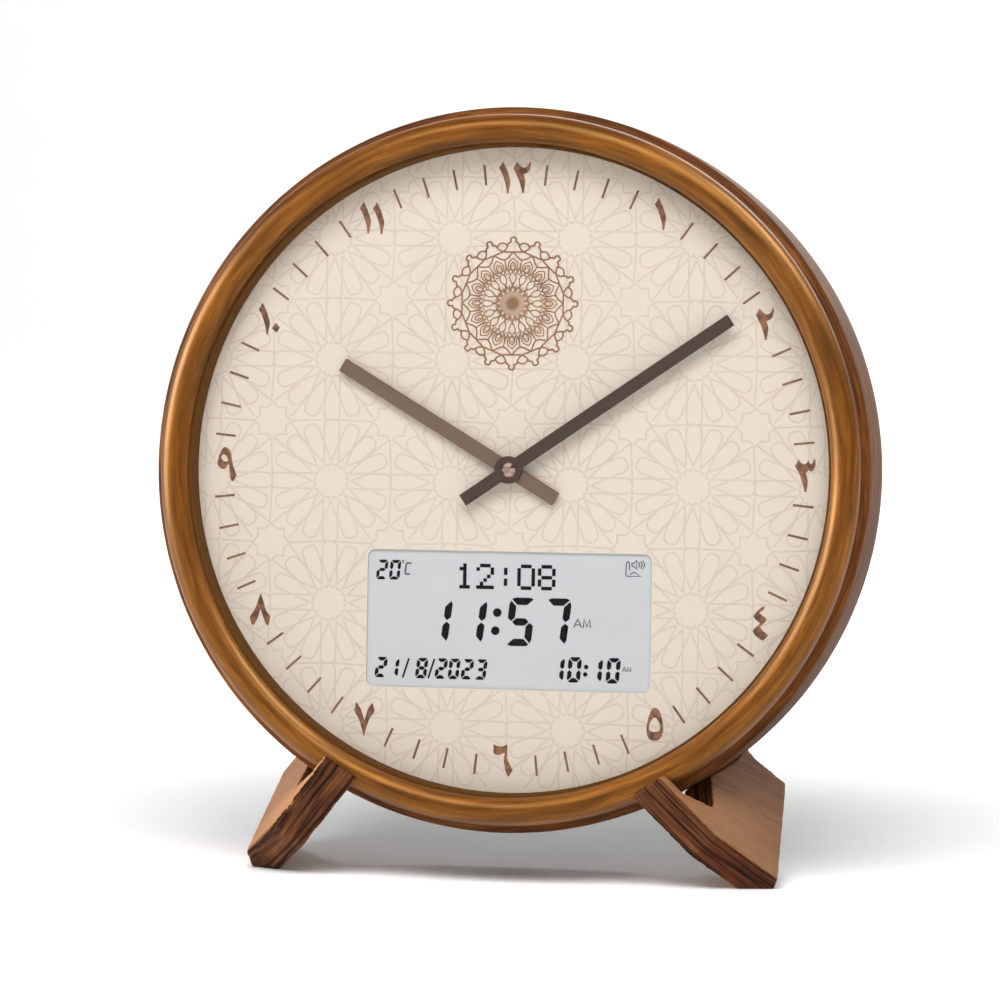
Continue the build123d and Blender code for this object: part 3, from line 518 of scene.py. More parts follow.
def smoothed(points, edges, degree, rounds):
    """Points after that many rounds of averaging with their neighbours."""
    out = points.copy()
    for _ in range(rounds):
        total = np.zeros_like(out)
        for axis in range(3):
            total[:, axis] = (np.bincount(edges[:, 0], out[edges[:, 1], axis], len(out))
                              + np.bincount(edges[:, 1], out[edges[:, 0], axis], len(out)))
        out = 0.5 * out + 0.5 * total / degree[:, None]
    return out


def carved_foot(name, node, side, seed, chips, material):
    """The plank with its edges worn and chipped unevenly, as hand work leaves them."""
    copy = bpy.data.objects.new(name + "_raw", nodes[node].data.copy())
    bpy.context.scene.collection.objects.link(copy)
    weld = copy.modifiers.new("weld", "WELD")
    weld.merge_threshold = 0.00001
    remesh = copy.modifiers.new("remesh", "REMESH")
    remesh.mode = "VOXEL"
    remesh.voxel_size = FOOT_VOXEL * MM
    remesh.adaptivity = 0.0
    bpy.context.view_layer.update()
    mesh = bpy.data.meshes.new_from_object(copy.evaluated_get(bpy.context.evaluated_depsgraph_get()))
    bpy.data.objects.remove(copy)
    count = len(mesh.vertices)
    points = read(mesh.vertices, "co", 3) / MM
    edges = read(mesh.edges, "vertices", 2, np.int64)
    degree = np.bincount(edges.ravel(), minlength=count).astype(float)
    fine = smoothed(points, edges, degree, 3)
    worn = smoothed(fine, edges, degree, 8)
    chipped = smoothed(worn, edges, degree, 60)
    wear = np.empty(count)
    chip = np.empty(count)
    for index, p in enumerate(fine):
        spot = Vector((p[0] * side, p[1], p[2])) + Vector((seed, 0, 0))
        wear[index] = noise.noise(spot * 0.35)
        chip[index] = noise.noise(spot * 0.16 + Vector((0, 40, 0))) + 0.35 * noise.noise(spot * 0.7)
    wear = np.clip(0.55 + 1.1 * wear, 0.1, 1.0)[:, None]
    chip = chips * np.clip((chip - 0.30) * 3.0, 0.0, 0.75)[:, None]
    points = fine + (worn - fine) * wear
    points = points + (chipped - worn) * chip
    points[:, 2] = np.maximum(points[:, 2], 0.0)
    mesh.vertices.foreach_set("co", (points * MM).ravel())
    mesh.materials.clear()
    mesh.materials.append(material)
    mesh.shade_smooth()
    mesh.update()
    obj = bpy.data.objects.new(name, mesh)
    bpy.context.scene.collection.objects.link(obj)
    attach(obj, "case")
    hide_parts(node)
    grain, kind = plank_grain(points, read(mesh.vertices, "normal", 3), side, seed)
    set_vectors(obj, "grain", grain)
    set_vectors(obj, "kind", kind)
    return obj


# ---------------------------------------------------------------- the dial's print
def allowed(x, z):
    """True where the dial has card: inside its edge, outside the display window and off the nut."""
    radius = math.hypot(x, z)
    if radius > DIAL_OPEN_R or radius < NUT_R:
        return False
    half_w, half_h, middle = WINDOW
    return not (abs(x) < half_w + 0.35 and abs(z - middle) < half_h + 0.35)


def clipped(points, step=2.5):
    """The stretches of a line that lie on the card."""
    fine = [points[0]]
    for (ax, az), (bx, bz) in zip(points, points[1:]):
        parts = max(1, math.ceil(math.hypot(bx - ax, bz - az) / step))
        fine += [(ax + (bx - ax) * k / parts, az + (bz - az) * k / parts) for k in range(1, parts + 1)]
    runs, run = [], []
    for a, b in zip(fine, fine[1:]):
        ina, inb = allowed(*a), allowed(*b)
        if ina and not run:
            run = [a]
        if ina != inb:
            low, high = (a, b) if ina else (b, a)
            for _ in range(9):
                mid = ((low[0] + high[0]) / 2, (low[1] + high[1]) / 2)
                low, high = (mid, high) if allowed(*mid) else (low, mid)
            if ina:
                runs.append(run + [low])
                run = []
            else:
                run = [low, b]
        elif ina:
            run.append(b)
    if run:
        runs.append(run)
    return [r for r in runs if len(r) > 1]


def turned(points, degrees):
    """Points turned clockwise, as seen on the dial."""
    a = math.radians(degrees)
    c, s = math.cos(a), math.sin(a)
    return [(x * c + z * s, z * c - x * s) for x, z in points]


def polar(*pairs):
    """Points from their radius and their degrees clockwise from twelve."""
    return [(r * math.sin(math.radians(a)), r * math.cos(math.radians(a))) for r, a in pairs]


def girih(material):
    """Faint lattice of sixteen-petalled rosettes and eight-pointed stars."""
    drawing = Ink(-0.025, 0.02)
    width = 0.66
    first_x, first_z = 61.5, 108.6     # middle of one rosette, and how far apart they lie
    pitch_x, pitch_z = 123.0, 122.7
    half = 61.5
    petal_w = 7.7
    node_r = 39.5              # where the sides of neighbouring petals cross
    cusp_r = 20.3
    star_r = 19.3
    cap = []
    for k in range(9):
        a = math.pi * k / 8
        cap.append((petal_w * math.cos(a), half - 7.6 + 7.2 * math.sin(a) ** 0.8))
    round_petal = [(petal_w, cusp_r - 1.8)] + cap + [(-petal_w, cusp_r - 1.8)]
    cell_petal = [(petal_w, cusp_r - 1.8), (petal_w, half - 5), (petal_w - 1.3, half - 1.6),
                  (petal_w - 4, half)]
    scallop = polar((18.6, -9.2), (17.1, -5.2), (16.3, -2.4), (16.0, 0), (16.3, 2.4), (17.1, 5.2),
                    (18.6, 9.2))
    square = star_r / math.sqrt(2)
    notch = star_r - square
    eighth = [(0, star_r), (notch, square), (square, square), (square, notch)]
    star = [p for k in range(4) for p in turned(eighth, 90 * k)]
    lines = []
    for column in range(-3, 4):
        for row in range(-3, 4):
            cx = first_x + pitch_x * column
            cz = first_z + pitch_z * row
            if math.hypot(cx, cz) * DOT > DIAL_OPEN_R + 34:
                continue
            for k in range(16):
                petals = [round_petal]
                if k % 4 == 0:
                    petals = [cell_petal, [(-x, z) for x, z in cell_petal]]
                for petal in petals:
                    lines.append((cx, cz, turned(petal, 22.5 * k)))
                lines.append((cx, cz, turned(scallop, 22.5 * (k + 0.5))))
            for k in range(4):
                for flip in (1, -1):
                    corner = (flip * (half - star_r), half - (2.0 if k % 2 else 3.4))
                    lines.append((cx, cz, turned([corner] + polar((node_r, flip * 33.75)), 90 * k)))
            edge = [(half - star_r, half - 1.4), (petal_w, half + 0.4), (-petal_w, half + 0.4),
                    (star_r - half, half - 1.4)]
            lines.append((cx, cz, edge))
            lines.append((cx, cz, turned(edge, 90)))
            lines.append((cx + half, cz + half - 1.4, star + [star[0]]))
    for cx, cz, points in lines:
        spots = [((cx + x) * DOT, (cz + z) * DOT) for x, z in points]
        for run in clipped(spots):
            drawing.line(run, width)
    return drawing.piece("dial_lattice", material)


def mandala(material):
    """Round sixteen-fold ornament above the hands."""
    drawing = Ink(-0.07, 0.01)
    cx, cz = -1.0, 166.5

    def stroke(points, width, closed=False, turn=0.0):
        """The line drawn sixteen times round the middle."""
        for k in range(16):
            spots = [((cx + x) * DOT, (cz + z) * DOT) for x, z in turned(points, 22.5 * k + turn)]
            drawing.line(spots, width * DOT, closed)

    lobe = [(0, 66.4), (1.5, 66.0), (2.6, 65.0), (2.9, 63.6), (2.4, 62.2), (3.0, 61.2), (4.6, 60.6),
            (5.7, 59.4), (5.9, 57.9)]
    base = [(5.9, 57.9), (6.9, 55.4), (8.3, 53.4), (10.3, 51.8), (13.2, 50.2), (16.4, 49.0), (19.6, 47.6)]
    loop = [(5.9, 57.9), (8.2, 59.6), (10.4, 60.4), (12.7, 60.0), (15.0, 58.6), (16.6, 55.8)]
    for sign in (1, -1):
        for points, width in ((lobe, 1.8), (base, 1.6)):
            stroke([(sign * x, z) for x, z in points], width)
        stroke([(sign * x, z) for x, z in ((0, 51.6), (2.6, 48.6), (5.2, 45.6), (8.6, 43.3))], 1.5)
        stroke([(sign * x, z) for x, z in ((8.6, 43.3), (8.0, 39.8), (6.6, 35.6), (4.6, 32.2), (2.2, 29.6),
                                           (3.4, 25.6), (1.8, 21.4), (-0.9, 17.4), (-3.6, 13.6))], 1.1)
        stroke([(sign * x, z) for x, z in ((0, 45.4), (2.2, 43.4), (4.2, 41.4), (4.9, 38.6), (4.5, 35.4),
                                           (3.4, 32.6))], 1.1)
        stroke([(sign * x, z) for x, z in ((8.0, 40.8), (7.0, 37.0), (6.2, 34.0), (4.2, 30.6))], 1.0)
    stroke(loop, 1.6)
    stroke([(0, 41.2), (2.0, 39.8), (2.9, 37.2), (2.5, 34.0), (0, 31.9), (-2.5, 34.0), (-2.9, 37.2),
            (-2.0, 39.8)], 1.2, True)
    stroke([(0, 38.9), (1.3, 37.6), (1.6, 35.8), (1.1, 33.9), (0, 33.2), (-1.1, 33.9), (-1.6, 35.8),
            (-1.3, 37.6)], 0.7, True)
    stroke([(0, 16.9), (1.2, 14.8), (1.3, 12.8), (0.5, 11.0), (0, 10.6), (-0.5, 11.0), (-1.3, 12.8),
            (-1.2, 14.8)], 0.85, True)
    stroke([(0, 4.0), (0, 11.2)], 0.85)
    stroke([(0, 4.0), (0, 18.8)], 0.95, turn=11.25)
    stroke([(0, 21.6), (0, 18.4)], 0.7)
    stroke(polar((30.4, 11.25), (28.4, 6.0), (31.4, 0.0), (28.4, -6.0), (30.4, -11.25)), 0.9)
    drawing.piece("dial_mandala", material)
    core = Ink(-0.11, 0.01)
    core.disc(cx * DOT, cz * DOT, 5.2 * DOT, 28)
    core.piece("dial_mandala_core", material)


# Outlines of the numerals in dots, about the middle of each: x to the right and z down.
BLADE = [(-5.4, -16.2), (-3.4, -12.4), (-1.0, -7.5), (1.0, -1.7), (2.3, 2.3), (2.5, 5.5), (1.7, 10.5),
         (0.7, 16.2), (-0.8, 16.2), (-1.5, 11.0), (-2.8, 5.3), (-4.8, -0.7), (-7.0, -5.7), (-9.3, -9.4),
         (-7.0, -12.6)]
TWO = [(-5.5, -15.8), (-3.0, -13.0), (-0.8, -11.1), (1.7, -10.0), (4.2, -10.5), (6.4, -13.0),
       (7.8, -15.5), (9.0, -15.9), (8.7, -11.9), (7.6, -7.7), (5.0, -4.7), (1.7, -3.3), (2.8, 0.3),
       (3.4, 3.7), (3.1, 8.1), (2.1, 15.6), (0.6, 15.6), (-0.8, 9.8), (-3.0, 3.1), (-5.8, -3.0),
       (-9.0, -9.4), (-7.2, -12.4)]
THREE = [(-7.1, -16.2), (-4.9, -12.9), (-1.8, -11.5), (0.7, -12.3), (2.3, -15.4), (3.4, -13.7),
         (4.1, -12.3), (5.4, -11.9), (6.6, -12.6), (7.3, -14.6), (8.3, -16.3), (9.6, -16.3), (9.6, -10.7),
         (8.4, -6.8), (6.8, -4.8), (5.1, -4.6), (2.9, -5.9), (0.4, -2.3), (1.2, 0.4), (2.1, 4.3),
         (2.1, 8.2), (1.2, 16.0), (-0.7, 16.0), (-2.7, 8.2), (-5.4, -0.1), (-7.9, -5.1), (-10.7, -9.8),
         (-8.8, -12.9)]
FOUR = [(4.5, -16.6), (3.9, -13.6), (-0.2, -10.5), (-0.5, -9.7), (1.7, -8.0), (4.5, -6.1), (6.6, -4.1),
        (5.9, -1.9), (3.4, 0.9), (0.3, 3.7), (2.6, 7.3), (5.9, 9.8), (8.7, 12.3), (6.2, 14.8),
        (3.9, 17.0), (2.3, 17.0), (-1.3, 14.8), (-4.7, 12.0), (-6.9, 8.7), (-5.8, 6.2), (-2.4, 3.1),
        (0.1, 0.9), (-0.5, -0.2), (-4.1, -3.3), (-6.6, -6.3), (-4.1, -10.2), (-0.8, -13.3), (2.6, -16.1)]
FIVE = [(0.3, -16.5), (2.8, -14.8), (4.7, -12.3), (6.7, -6.2), (8.1, -0.1), (8.3, 4.9), (7.5, 9.9),
        (5.0, 14.3), (2.2, 16.1), (-1.7, 16.3), (-5.3, 14.9), (-7.8, 11.0), (-8.6, 5.4), (-8.1, -0.1),
        (-6.7, -6.2), (-4.4, -12.9), (-2.5, -15.4)]
FIVE_EYE = [(-0.7, -6.8), (1.4, -5.7), (3.9, -1.8), (5.1, 2.7), (4.7, 6.0), (2.2, 7.4), (-0.6, 7.7),
            (-3.9, 7.2), (-6.0, 5.4), (-5.8, 1.0), (-4.2, -2.9), (-2.2, -5.7)]
SIX = [(-9.7, -16.1), (-6.9, -14.7), (-2.5, -13.9), (0.8, -14.4), (4.2, -16.4), (4.4, -12.5), (4.4, -6.4),
       (4.7, -1.4), (6.4, 2.5), (9.7, 8.6), (10.0, 10.0), (8.1, 12.8), (6.4, 15.8), (5.3, 15.8),
       (3.3, 11.4), (1.7, 4.2), (0.8, -0.3), (1.7, -6.4), (1.4, -7.5), (-0.8, -6.7), (-4.7, -5.3),
       (-7.5, -5.8), (-9.7, -7.5)]
SEVEN = [(-8.2, -16.6), (-6.3, -13.8), (-3.8, -10.2), (-1.8, -5.2), (-0.4, 0.3), (0.4, 0.6), (1.5, -3.0),
         (3.2, -9.1), (5.4, -13.8), (8.5, -16.6), (9.6, -11.9), (10.4, -8.0), (8.2, -4.7), (5.7, -1.3),
         (3.5, 4.8), (1.5, 10.9), (0.3, 16.7), (-0.7, 16.7), (-1.8, 11.5), (-3.8, 4.8), (-6.5, -1.9),
         (-10.4, -8.0), (-9.3, -12.4), (-9.3, -15.8)]
EIGHT = [(0.2, -16.4), (1.3, -14.2), (3.5, -8.1), (5.7, -0.8), (8.5, 3.6), (10.6, 6.4), (9.9, 10.8),
         (8.8, 15.6), (7.4, 15.3), (4.6, 10.3), (2.1, 3.6), (0.5, -0.8), (-0.7, 1.9), (-2.3, 8.1),
         (-4.8, 13.1), (-6.8, 15.8), (-8.4, 15.3), (-9.5, 11.9), (-10.7, 8.1), (-9.3, 5.3), (-6.5, 1.4),
         (-3.7, -4.7), (-1.5, -11.9)]
NINE = [(-1.3, -17.4), (1.2, -16.0), (3.4, -13.8), (4.6, -10.4), (5.1, -6.6), (6.2, -1.6), (7.3, 2.9),
        (10.1, 9.6), (10.8, 10.7), (9.3, 13.4), (7.6, 16.8), (5.7, 17.1), (4.6, 14.6), (3.7, 10.1),
        (2.9, 4.6), (2.9, 0.7), (1.2, -0.4), (0.4, 2.3), (-1.6, 4.3), (-4.3, 4.6), (-7.7, 2.9),
        (-9.6, -1.0), (-9.1, -4.3), (-7.9, -9.3), (-5.7, -13.8), (-3.8, -16.6)]
NINE_EYE = [(-3.8, -9.9), (-1.0, -9.3), (0.7, -6.6), (1.5, -3.8), (-0.4, -2.7), (-3.2, -3.5),
            (-5.7, -5.7), (-5.2, -8.5)]
POINT = [(0.0, -5.0), (4.3, -0.4), (0.9, 5.0), (-4.1, 0.3)]
# Where the middle of each numeral stands, right and down from the dial's centre, its outline and its hole.
NUMERALS = [
    (-7.9, -292.7, BLADE), (6.5, -292.5, TWO),
    (150.5, -257.0, BLADE),
    (253.5, -148.0, TWO),
    (296.5, 1.0, THREE),
    (253.5, 147.0, FOUR),
    (150.5, 250.0, FIVE, FIVE_EYE),
    (-3.0, 290.5, SIX),
    (-145.9, 253.1, SEVEN),
    (-255.9, 145.5, EIGHT),
    (-293.5, -1.0, NINE, NINE_EYE),
    (-253.4, -149.0, BLADE), (-244.6, -139.7, POINT),
    (-150.3, -251.8, BLADE), (-136.6, -251.4, BLADE),
]


def numerals(material):
    """The twelve hours."""
    drawing = Ink(-0.09, 0.01)
    for x, down, *glyph in NUMERALS:
        outline, *holes = ([((x + px) * DOT, -(down + pz) * DOT) for px, pz in smooth_outline(points)]
                           for points in glyph)
        drawing.area(outline, holes)
    return drawing.piece("dial_numerals", material)


def minute_marks(material):
    """A short line for each minute between the hours."""
    drawing = Ink(-0.09, 0.01)
    for minute in range(60):
        if minute % 5:
            drawing.line(turned([(0, 100.4), (0, 107.6)], 6 * minute), 0.80)
    return drawing.piece("dial_minute_marks", material)


# ---------------------------------------------------------------- the display's figures
LIT = {"0": "abcdef", "1": "bc", "2": "abged", "3": "abgcd", "5": "afgcd", "7": "abc", "8": "abcdefg"}
LCD_X, LCD_Z = 516.3, 618.8    # middle of the display in the artwork, in dots
DOTS_5X7 = {
    "1": ("00100", "01100", "00100", "00100", "00100", "00100", "01110"),
    "2": ("01110", "10001", "00001", "00010", "00100", "01000", "11111"),
    ":": ("00000", "00100", "00100", "00000", "00100", "00100", "00000"),
    "0": ("01110", "10001", "10001", "10001", "10001", "10001", "01110"),
    "8": ("01110", "10001", "10001", "01110", "10001", "10001", "01110"),
}


def on_lcd(points):
    """Places on the dial of points given in dots of the artwork."""
    return [((x - LCD_X) * DOT, WINDOW[2] - (z - LCD_Z) * DOT) for x, z in points]


def segment_shapes(width, half, t):
    """The seven bars of a figure about its middle, each as an outline. z runs down."""
    w, h = width / 2, half + t / 2
    top = [(-w + 0.30 * t, -h + 0.22 * t), (-w + 0.75 * t, -h), (w - 0.75 * t, -h),
           (w - 0.30 * t, -h + 0.22 * t), (w - 1.12 * t, -h + t), (-w + 1.12 * t, -h + t)]
    left = [(-w, -h + 0.95 * t), (-w + 0.22 * t, -h + 0.42 * t), (-w + t, -h + 1.22 * t),
            (-w + t, -0.60 * t), (-w + 0.52 * t, -0.10 * t), (-w, -0.50 * t)]
    middle = [(-w + 0.66 * t, 0), (-w + 1.16 * t, -t / 2), (w - 1.16 * t, -t / 2), (w - 0.66 * t, 0),
              (w - 1.16 * t, t / 2), (-w + 1.16 * t, t / 2)]

    def flipped(points, sx, sz):
        return [(x * sx, z * sz) for x, z in points]
    return {"a": top, "d": flipped(top, 1, -1), "g": middle, "f": left, "b": flipped(left, -1, 1),
            "e": flipped(left, 1, -1), "c": flipped(left, -1, -1)}


def lcd_figures(material):
    """Two clocks, a date and a temperature in bars, and a time in square dots."""
    drawing = Ink(LCD_FACE_Y - 0.05, LCD_FACE_Y + 0.02)
    for z, height, thickness, slant, row in (
            (620.5, 46.5, 7.3, 0.13, (("1", 444.7, 24.0), ("1", 480.2, 24.0))),
            (619.8, 48.6, 7.3, 0.10, (("5", 528.2, 26.4),)),
            (619.8, 48.6, 7.3, 0.13, (("7", 564.4, 26.4),)),
            (570.3, 19.8, 3.2, 0.10, (("2", 385.7, 11.0), ("0", 399.0, 11.0))),
            (668.5, 20.6, 3.7, 0.12, (("2", 386.2, 11.6), ("1", 398.6, 11.6), ("8", 428.0, 11.6),
                                      ("2", 448.1, 11.6), ("0", 461.3, 11.2), ("2", 474.9, 11.6),
                                      ("3", 488.8, 11.6))),
            (666.3, 25.4, 4.4, 0.08, (("1", 566.8, 13.4), ("0", 583.8, 13.6), ("1", 605.4, 13.4),
                                      ("0", 623.2, 13.6)))):
        for text, x, width in row:
            shapes = segment_shapes(width, (height - thickness) / 2, thickness)
            for bar in LIT[text]:
                drawing.area(on_lcd([(x + px - slant * pz, z + pz) for px, pz in shapes[bar]]))
    for x, z, radius in ((504.5, 611.0, 4.4), (502.8, 629.2, 4.4),
                         (595.8, 663.2, 2.3), (595.0, 670.6, 2.3)):
        drawing.disc(*on_lcd([(x, z)])[0], radius * DOT)
    for x in (411.8, 438.0):
        drawing.line(on_lcd([(x + 3.0, 659.0), (x - 3.2, 678.6)]), 1.9 * DOT)
    column, half = 3.62, 1.80
    for place, letter in enumerate("12:08"):
        for row, bits in enumerate(DOTS_5X7[letter]):
            for col, bit in enumerate(bits):
                if bit == "1":
                    x = 463.4 + 20.9 * place + column * col
                    z = 564.2 + column * row
                    drawing.area(on_lcd([(x - half, z - half), (x + half, z - half),
                                         (x + half, z + half), (x - half, z + half)]))
    return drawing.piece("lcd_figures", material)


def lcd_small_signs(material):
    """Degree sign, C, the morning marks and a loudspeaker sign, in thin lines."""
    drawing = Ink(LCD_FACE_Y - 0.04, LCD_FACE_Y + 0.02)

    def stroke(points, width, closed=False):
        drawing.line(on_lcd(points), width * DOT, closed)
    angles = [k * math.pi / 4 for k in range(8)]
    stroke([(407.0 + 1.1 * math.cos(a), 561.8 + 1.1 * math.sin(a)) for a in angles], 0.8, True)
    stroke([(415.8, 563.4), (411.6, 563.2), (410.4, 564.4), (409.3, 573.2), (410.4, 574.4),
            (414.4, 574.3)], 1.7)
    for x, z, w, h, line in ((582.4, 624.2, 17.0, 8.4, 1.35), (632.2, 667.0, 9.0, 4.6, 0.85)):
        stroke([(x, z), (x + 0.24 * w, z - h), (x + 0.48 * w, z)], line)
        stroke([(x + 0.10 * w, z - 0.32 * h), (x + 0.38 * w, z - 0.32 * h)], line * 0.8)
        stroke([(x + 0.58 * w, z), (x + 0.62 * w, z - h), (x + 0.79 * w, z - 0.1 * h),
                (x + 0.96 * w, z - h), (x + w, z)], line)
    stroke([(634.4, 571.6), (634.6, 560.0), (635.8, 557.4), (637.2, 557.6), (637.8, 560.0),
            (638.0, 566.0)], 1.1)
    stroke([(634.4, 571.8), (649.2, 571.8), (642.6, 567.6), (638.6, 569.8)], 1.1)
    stroke([(640.4, 559.0), (642.2, 559.0), (645.2, 556.0), (645.2, 564.6), (642.2, 561.8),
            (640.4, 561.8)], 1.1, True)
    for reach in (0.0, 2.6, 5.2):
        stroke([(647.0 + reach * 0.8, 557.4 - reach * 0.3), (648.2 + reach, 560.3),
                (647.0 + reach * 0.8, 563.2 + reach * 0.3)], 1.0)
    return drawing.piece("lcd_small_signs", material)


# ---------------------------------------------------------------- CAD pieces
def paint(names, material):
    """Gives the named CAD nodes that material."""
    for name in names.split():
        obj = nodes[name]
        obj.data.materials.clear()
        obj.data.materials.append(material)


def paint_cad_nodes():
    """Materials of the CAD nodes that stay."""
    paint("back_cover battery_door", moulded("case_plastic", (0.030, 0.030, 0.032), 0.48, 0.5, 0.03))
    paint("lcd_holder battery_box movement_case movement_cover",
          moulded("inner_plastic", (0.045, 0.045, 0.048), 0.42, 0.7, 0.015))
    paint("retaining_ring spacer_ring",
          moulded("spacer_plastic", (0.126, 0.050, 0.007), 0.80, 0.6, 0.02, Specular_IOR_Level=0.03))
    paint("button_set button_up button_down button_light switch_slider setting_knob",
          moulded("control_plastic", (0.10, 0.10, 0.105), 0.40, 0.4, 0.015))
    paint("hour_wheel motion_wheel setting_arbor",
          moulded("acetal", (0.78, 0.78, 0.72), 0.35, 0.8, 0.01, Subsurface_Weight=0.05))
    paint("lcd_contact_strips shaft_washer",
          moulded("black_rubber", (0.025, 0.025, 0.025), 0.75, 0.3, 0.02))
    paint("main_board button_board", moulded("solder_mask", (0.02, 0.16, 0.07), 0.30, 2.0, 0.02))
    paint("board_chips motor_block button_switches",
          moulded("chip_body", (0.03, 0.03, 0.03), 0.55, 0.3, 0.02))
    paint("speaker_leads battery_leads button_leads",
          moulded("wire_jacket", (0.42, 0.02, 0.02), 0.35, 1.0, 0.01))
    paint("speaker_cone", moulded("cone_paper", (0.05, 0.048, 0.045), 0.85, 0.5, 0.06))
    paint("batteries", moulded("cell_sleeve", (0.30, 0.31, 0.33), 0.30, 2.0, 0.005, Metallic=0.4))
    paint("speaker_magnet", moulded("ferrite", (0.06, 0.06, 0.065), 0.45, 0.6, 0.02, Metallic=0.5))
    paint("back_cover_screws board_screws foot_screws speaker_basket",
          brushed("zinc_steel", (0.62, 0.62, 0.60), 0.34, (0, 1, 0)))
    paint("battery_contacts battery_springs switch_body minute_arbor",
          brushed("nickel", (0.72, 0.70, 0.66), 0.24, (0, 0, 1)))
    paint("shaft_nut", brushed("turned_brass", (0.62, 0.42, 0.16), 0.28, (0, 1, 0)))
    paint("hour_hand", hand_metal("hour_hand_metal", 300.9, (0.230, 0.150, 0.115)))
    paint("minute_hand", hand_metal("minute_hand_metal", 55.6, (0.090, 0.058, 0.045)))
    paint("hand_cap", brushed("cap_metal", (0.70, 0.56, 0.50), 0.16, (0, 1, 0)))
    paint("dial_plate", paper_print())
    paint("lcd_panel", lcd_face())
    paint("front_lens", clear_pane())


# ---------------------------------------------------------------- floor, light and camera
def add_light(name, kind, spot, aim, power, tint, lit):
    """A light at spot. It falls on the objects in lit only, or on everything if lit is None."""
    light = bpy.data.lights.new(name, kind)
    light.energy = power
    light.color = tint
    lamp = bpy.data.objects.new(name, light)
    lamp.location = spot
    lamp.rotation_euler = (Vector(aim) - lamp.location).to_track_quat("-Z", "Y").to_euler()
    bpy.context.scene.collection.objects.link(lamp)
    if lit:
        lamp.light_linking.receiver_collection = bpy.data.collections.new(name + "_falls_on")
        for obj in lit:
            lamp.light_linking.receiver_collection.objects.link(obj)
    return lamp


def add_floor():
    """Floor that curves up into a backdrop behind the clock."""
    size, reach, bend = 12.0, 3.4, 1.6
    profile = [(-size, 0.0), (reach, 0.0)]
    profile += [(reach + bend * math.sin(a), bend * (1 - math.cos(a)))
                for a in (math.pi / 2 * k / 12 for k in range(1, 13))]
    profile += [(reach + bend, size)]
    verts = [(x, y, z) for y, z in profile for x in (-size, size)]
    faces = [(2 * k, 2 * k + 1, 2 * k + 3, 2 * k + 2) for k in range(len(profile) - 1)]
    mesh = bpy.data.meshes.new("studio_floor")
    mesh.from_pydata(verts, [], faces)
    mesh.shade_smooth()
    floor = bpy.data.objects.new("studio_floor", mesh)
    bpy.context.scene.collection.objects.link(floor)
    s = Shader("floor_paint", Roughness=0.9)
    s.colour(s.mix(s.noise(s.place([0.004] * 3), 2.0), (0.93, 0.93, 0.93), (0.95, 0.95, 0.95)))
    mesh.materials.append(s.mat)
    return floor


def add_air():
    """Weak light from all round, stronger near the horizon."""
    world = bpy.data.worlds.new("studio_air")
    world.use_nodes = True
    tree = world.node_tree
    height = tree.nodes.new("ShaderNodeSeparateXYZ")
    tree.links.new(tree.nodes.new("ShaderNodeTexCoord").outputs["Generated"], height.inputs[0])
    fade = tree.nodes.new("ShaderNodeMapRange")
    for socket, value in (("From Min", 0.12), ("From Max", 0.35), ("To Min", 0.50), ("To Max", 0.08)):
        fade.inputs[socket].default_value = value
    tree.links.new(height.outputs["Z"], fade.inputs["Value"])
    background = tree.nodes["Background"]
    tree.links.new(fade.outputs["Result"], background.inputs["Strength"])
    background.inputs["Color"].default_value = (1.0, 0.99, 0.97, 1.0)
    bpy.context.scene.world = world


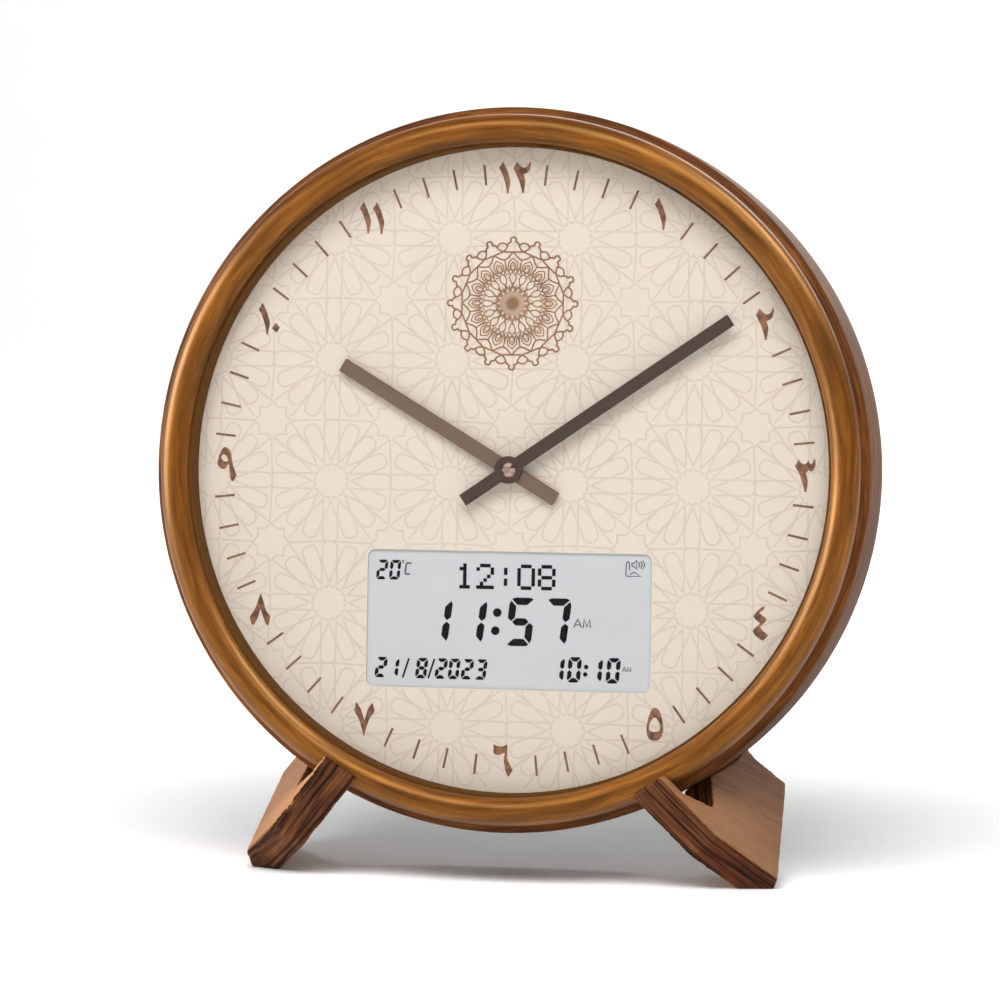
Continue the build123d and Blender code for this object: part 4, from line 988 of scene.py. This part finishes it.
def add_lights(floor, wood):
    """The studio's lights. wood holds the ring and the feet, with the ring first."""
    middle = Vector((0.0, 0.0, 0.13))
    clock = [obj for obj in bpy.data.objects if obj.type == "MESH" and obj != floor]
    for name, spot, aim, size, power, tint, lit in (
            ("key_light", (-2.0, -0.60, 0.62), middle, (1.5, 1.2), 66.0, (1.0, 0.97, 0.93), wood),
            ("rim_light", (1.30, -0.20, 1.75), middle, (0.9, 0.9), 36.0, WHITE, wood[:1]),
            ("top_light", (0.10, -1.45, 1.80), middle, (2.2, 1.0), 44.0, WHITE, None),
            ("front_light", (0.4, -2.9, 1.1), middle, (4.5, 2.6), 32.0, (1.0, 0.99, 0.97), clock),
            ("backdrop_light", (0.0, 2.2, 3.4), (0.0, 5.5, 1.3), (4.0, 1.0), 130.0, WHITE, None),
            ("rear_light", (0.5, 2.4, 1.3), middle, (2.0, 1.5), 26.0, WHITE, clock),
            ("floor_light", (0.0, -1.3, 2.0), (0.0, 0.0, 0.0), (2.6, 0.8), 34.0, WHITE, [floor])):
        lamp = add_light(name, "AREA", spot, aim, power, tint, lit)
        lamp.data.shape = "RECTANGLE"
        lamp.data.size, lamp.data.size_y = size
        lamp.visible_glossy = name != "front_light"
    far = add_light("far_floor_light", "SPOT", (0.0, 1.7, 3.0), (0.0, 1.65, 0.0), 220.0, WHITE, [floor])
    far.data.spot_size, far.data.spot_blend, far.data.shadow_soft_size = math.radians(60.0), 0.5, 0.3


def add_camera():
    """The camera looks along its yaw and lift, and its shift frames the whole clock."""
    camera = bpy.data.cameras.new("camera")
    camera.lens = 151.7
    camera.sensor_width = 36.0
    camera.shift_x = -0.0107
    camera.shift_y = -0.0300
    camera.clip_end = 40.0
    eye = bpy.data.objects.new("camera", camera)
    yaw, lift, distance = math.radians(11.23), math.radians(4.81), 1.479
    direction = Vector((math.sin(yaw) * math.cos(lift), -math.cos(yaw) * math.cos(lift), math.sin(lift)))
    eye.location = DIAL_CENTRE * MM + direction * distance
    eye.rotation_euler = (math.pi / 2 - lift, 0.0, yaw)
    bpy.context.scene.collection.objects.link(eye)
    bpy.context.scene.camera = eye


# ---------------------------------------------------------------- the build
paint_cad_nodes()
walnut = foot_wood()
ring_and_feet = [wooden_ring(),
                 carved_foot("right_plank", "right_foot", 1, 0.0, 0.3, walnut),
                 carved_foot("left_plank", "left_foot", -1, 57.0, 1.0, walnut)]
girih(ink("lattice_ink", (0.560, 0.470, 0.385), (0.582, 0.490, 0.405), 20.0))
mandala(ink("mandala_ink", (0.200, 0.090, 0.036), (0.275, 0.132, 0.060), 8.0))
numerals(ink("brown_ink", (0.085, 0.036, 0.018), (0.270, 0.105, 0.045), 2.6))
minute_marks(ink("mark_ink", (0.140, 0.066, 0.036), (0.220, 0.105, 0.058), 6.0))
lcd_figures(ink("lcd_ink", (0.003, 0.003, 0.004), (0.006, 0.006, 0.007), 6.0, 0.6, Specular_IOR_Level=0.05))
lcd_small_signs(ink("lcd_thin_ink", (0.050, 0.052, 0.056), (0.085, 0.087, 0.090), 6.0, 0.4))
bpy.context.scene.view_settings.view_transform = "Standard"
ground = add_floor()
add_air()
add_lights(ground, ring_and_feet)
add_camera()
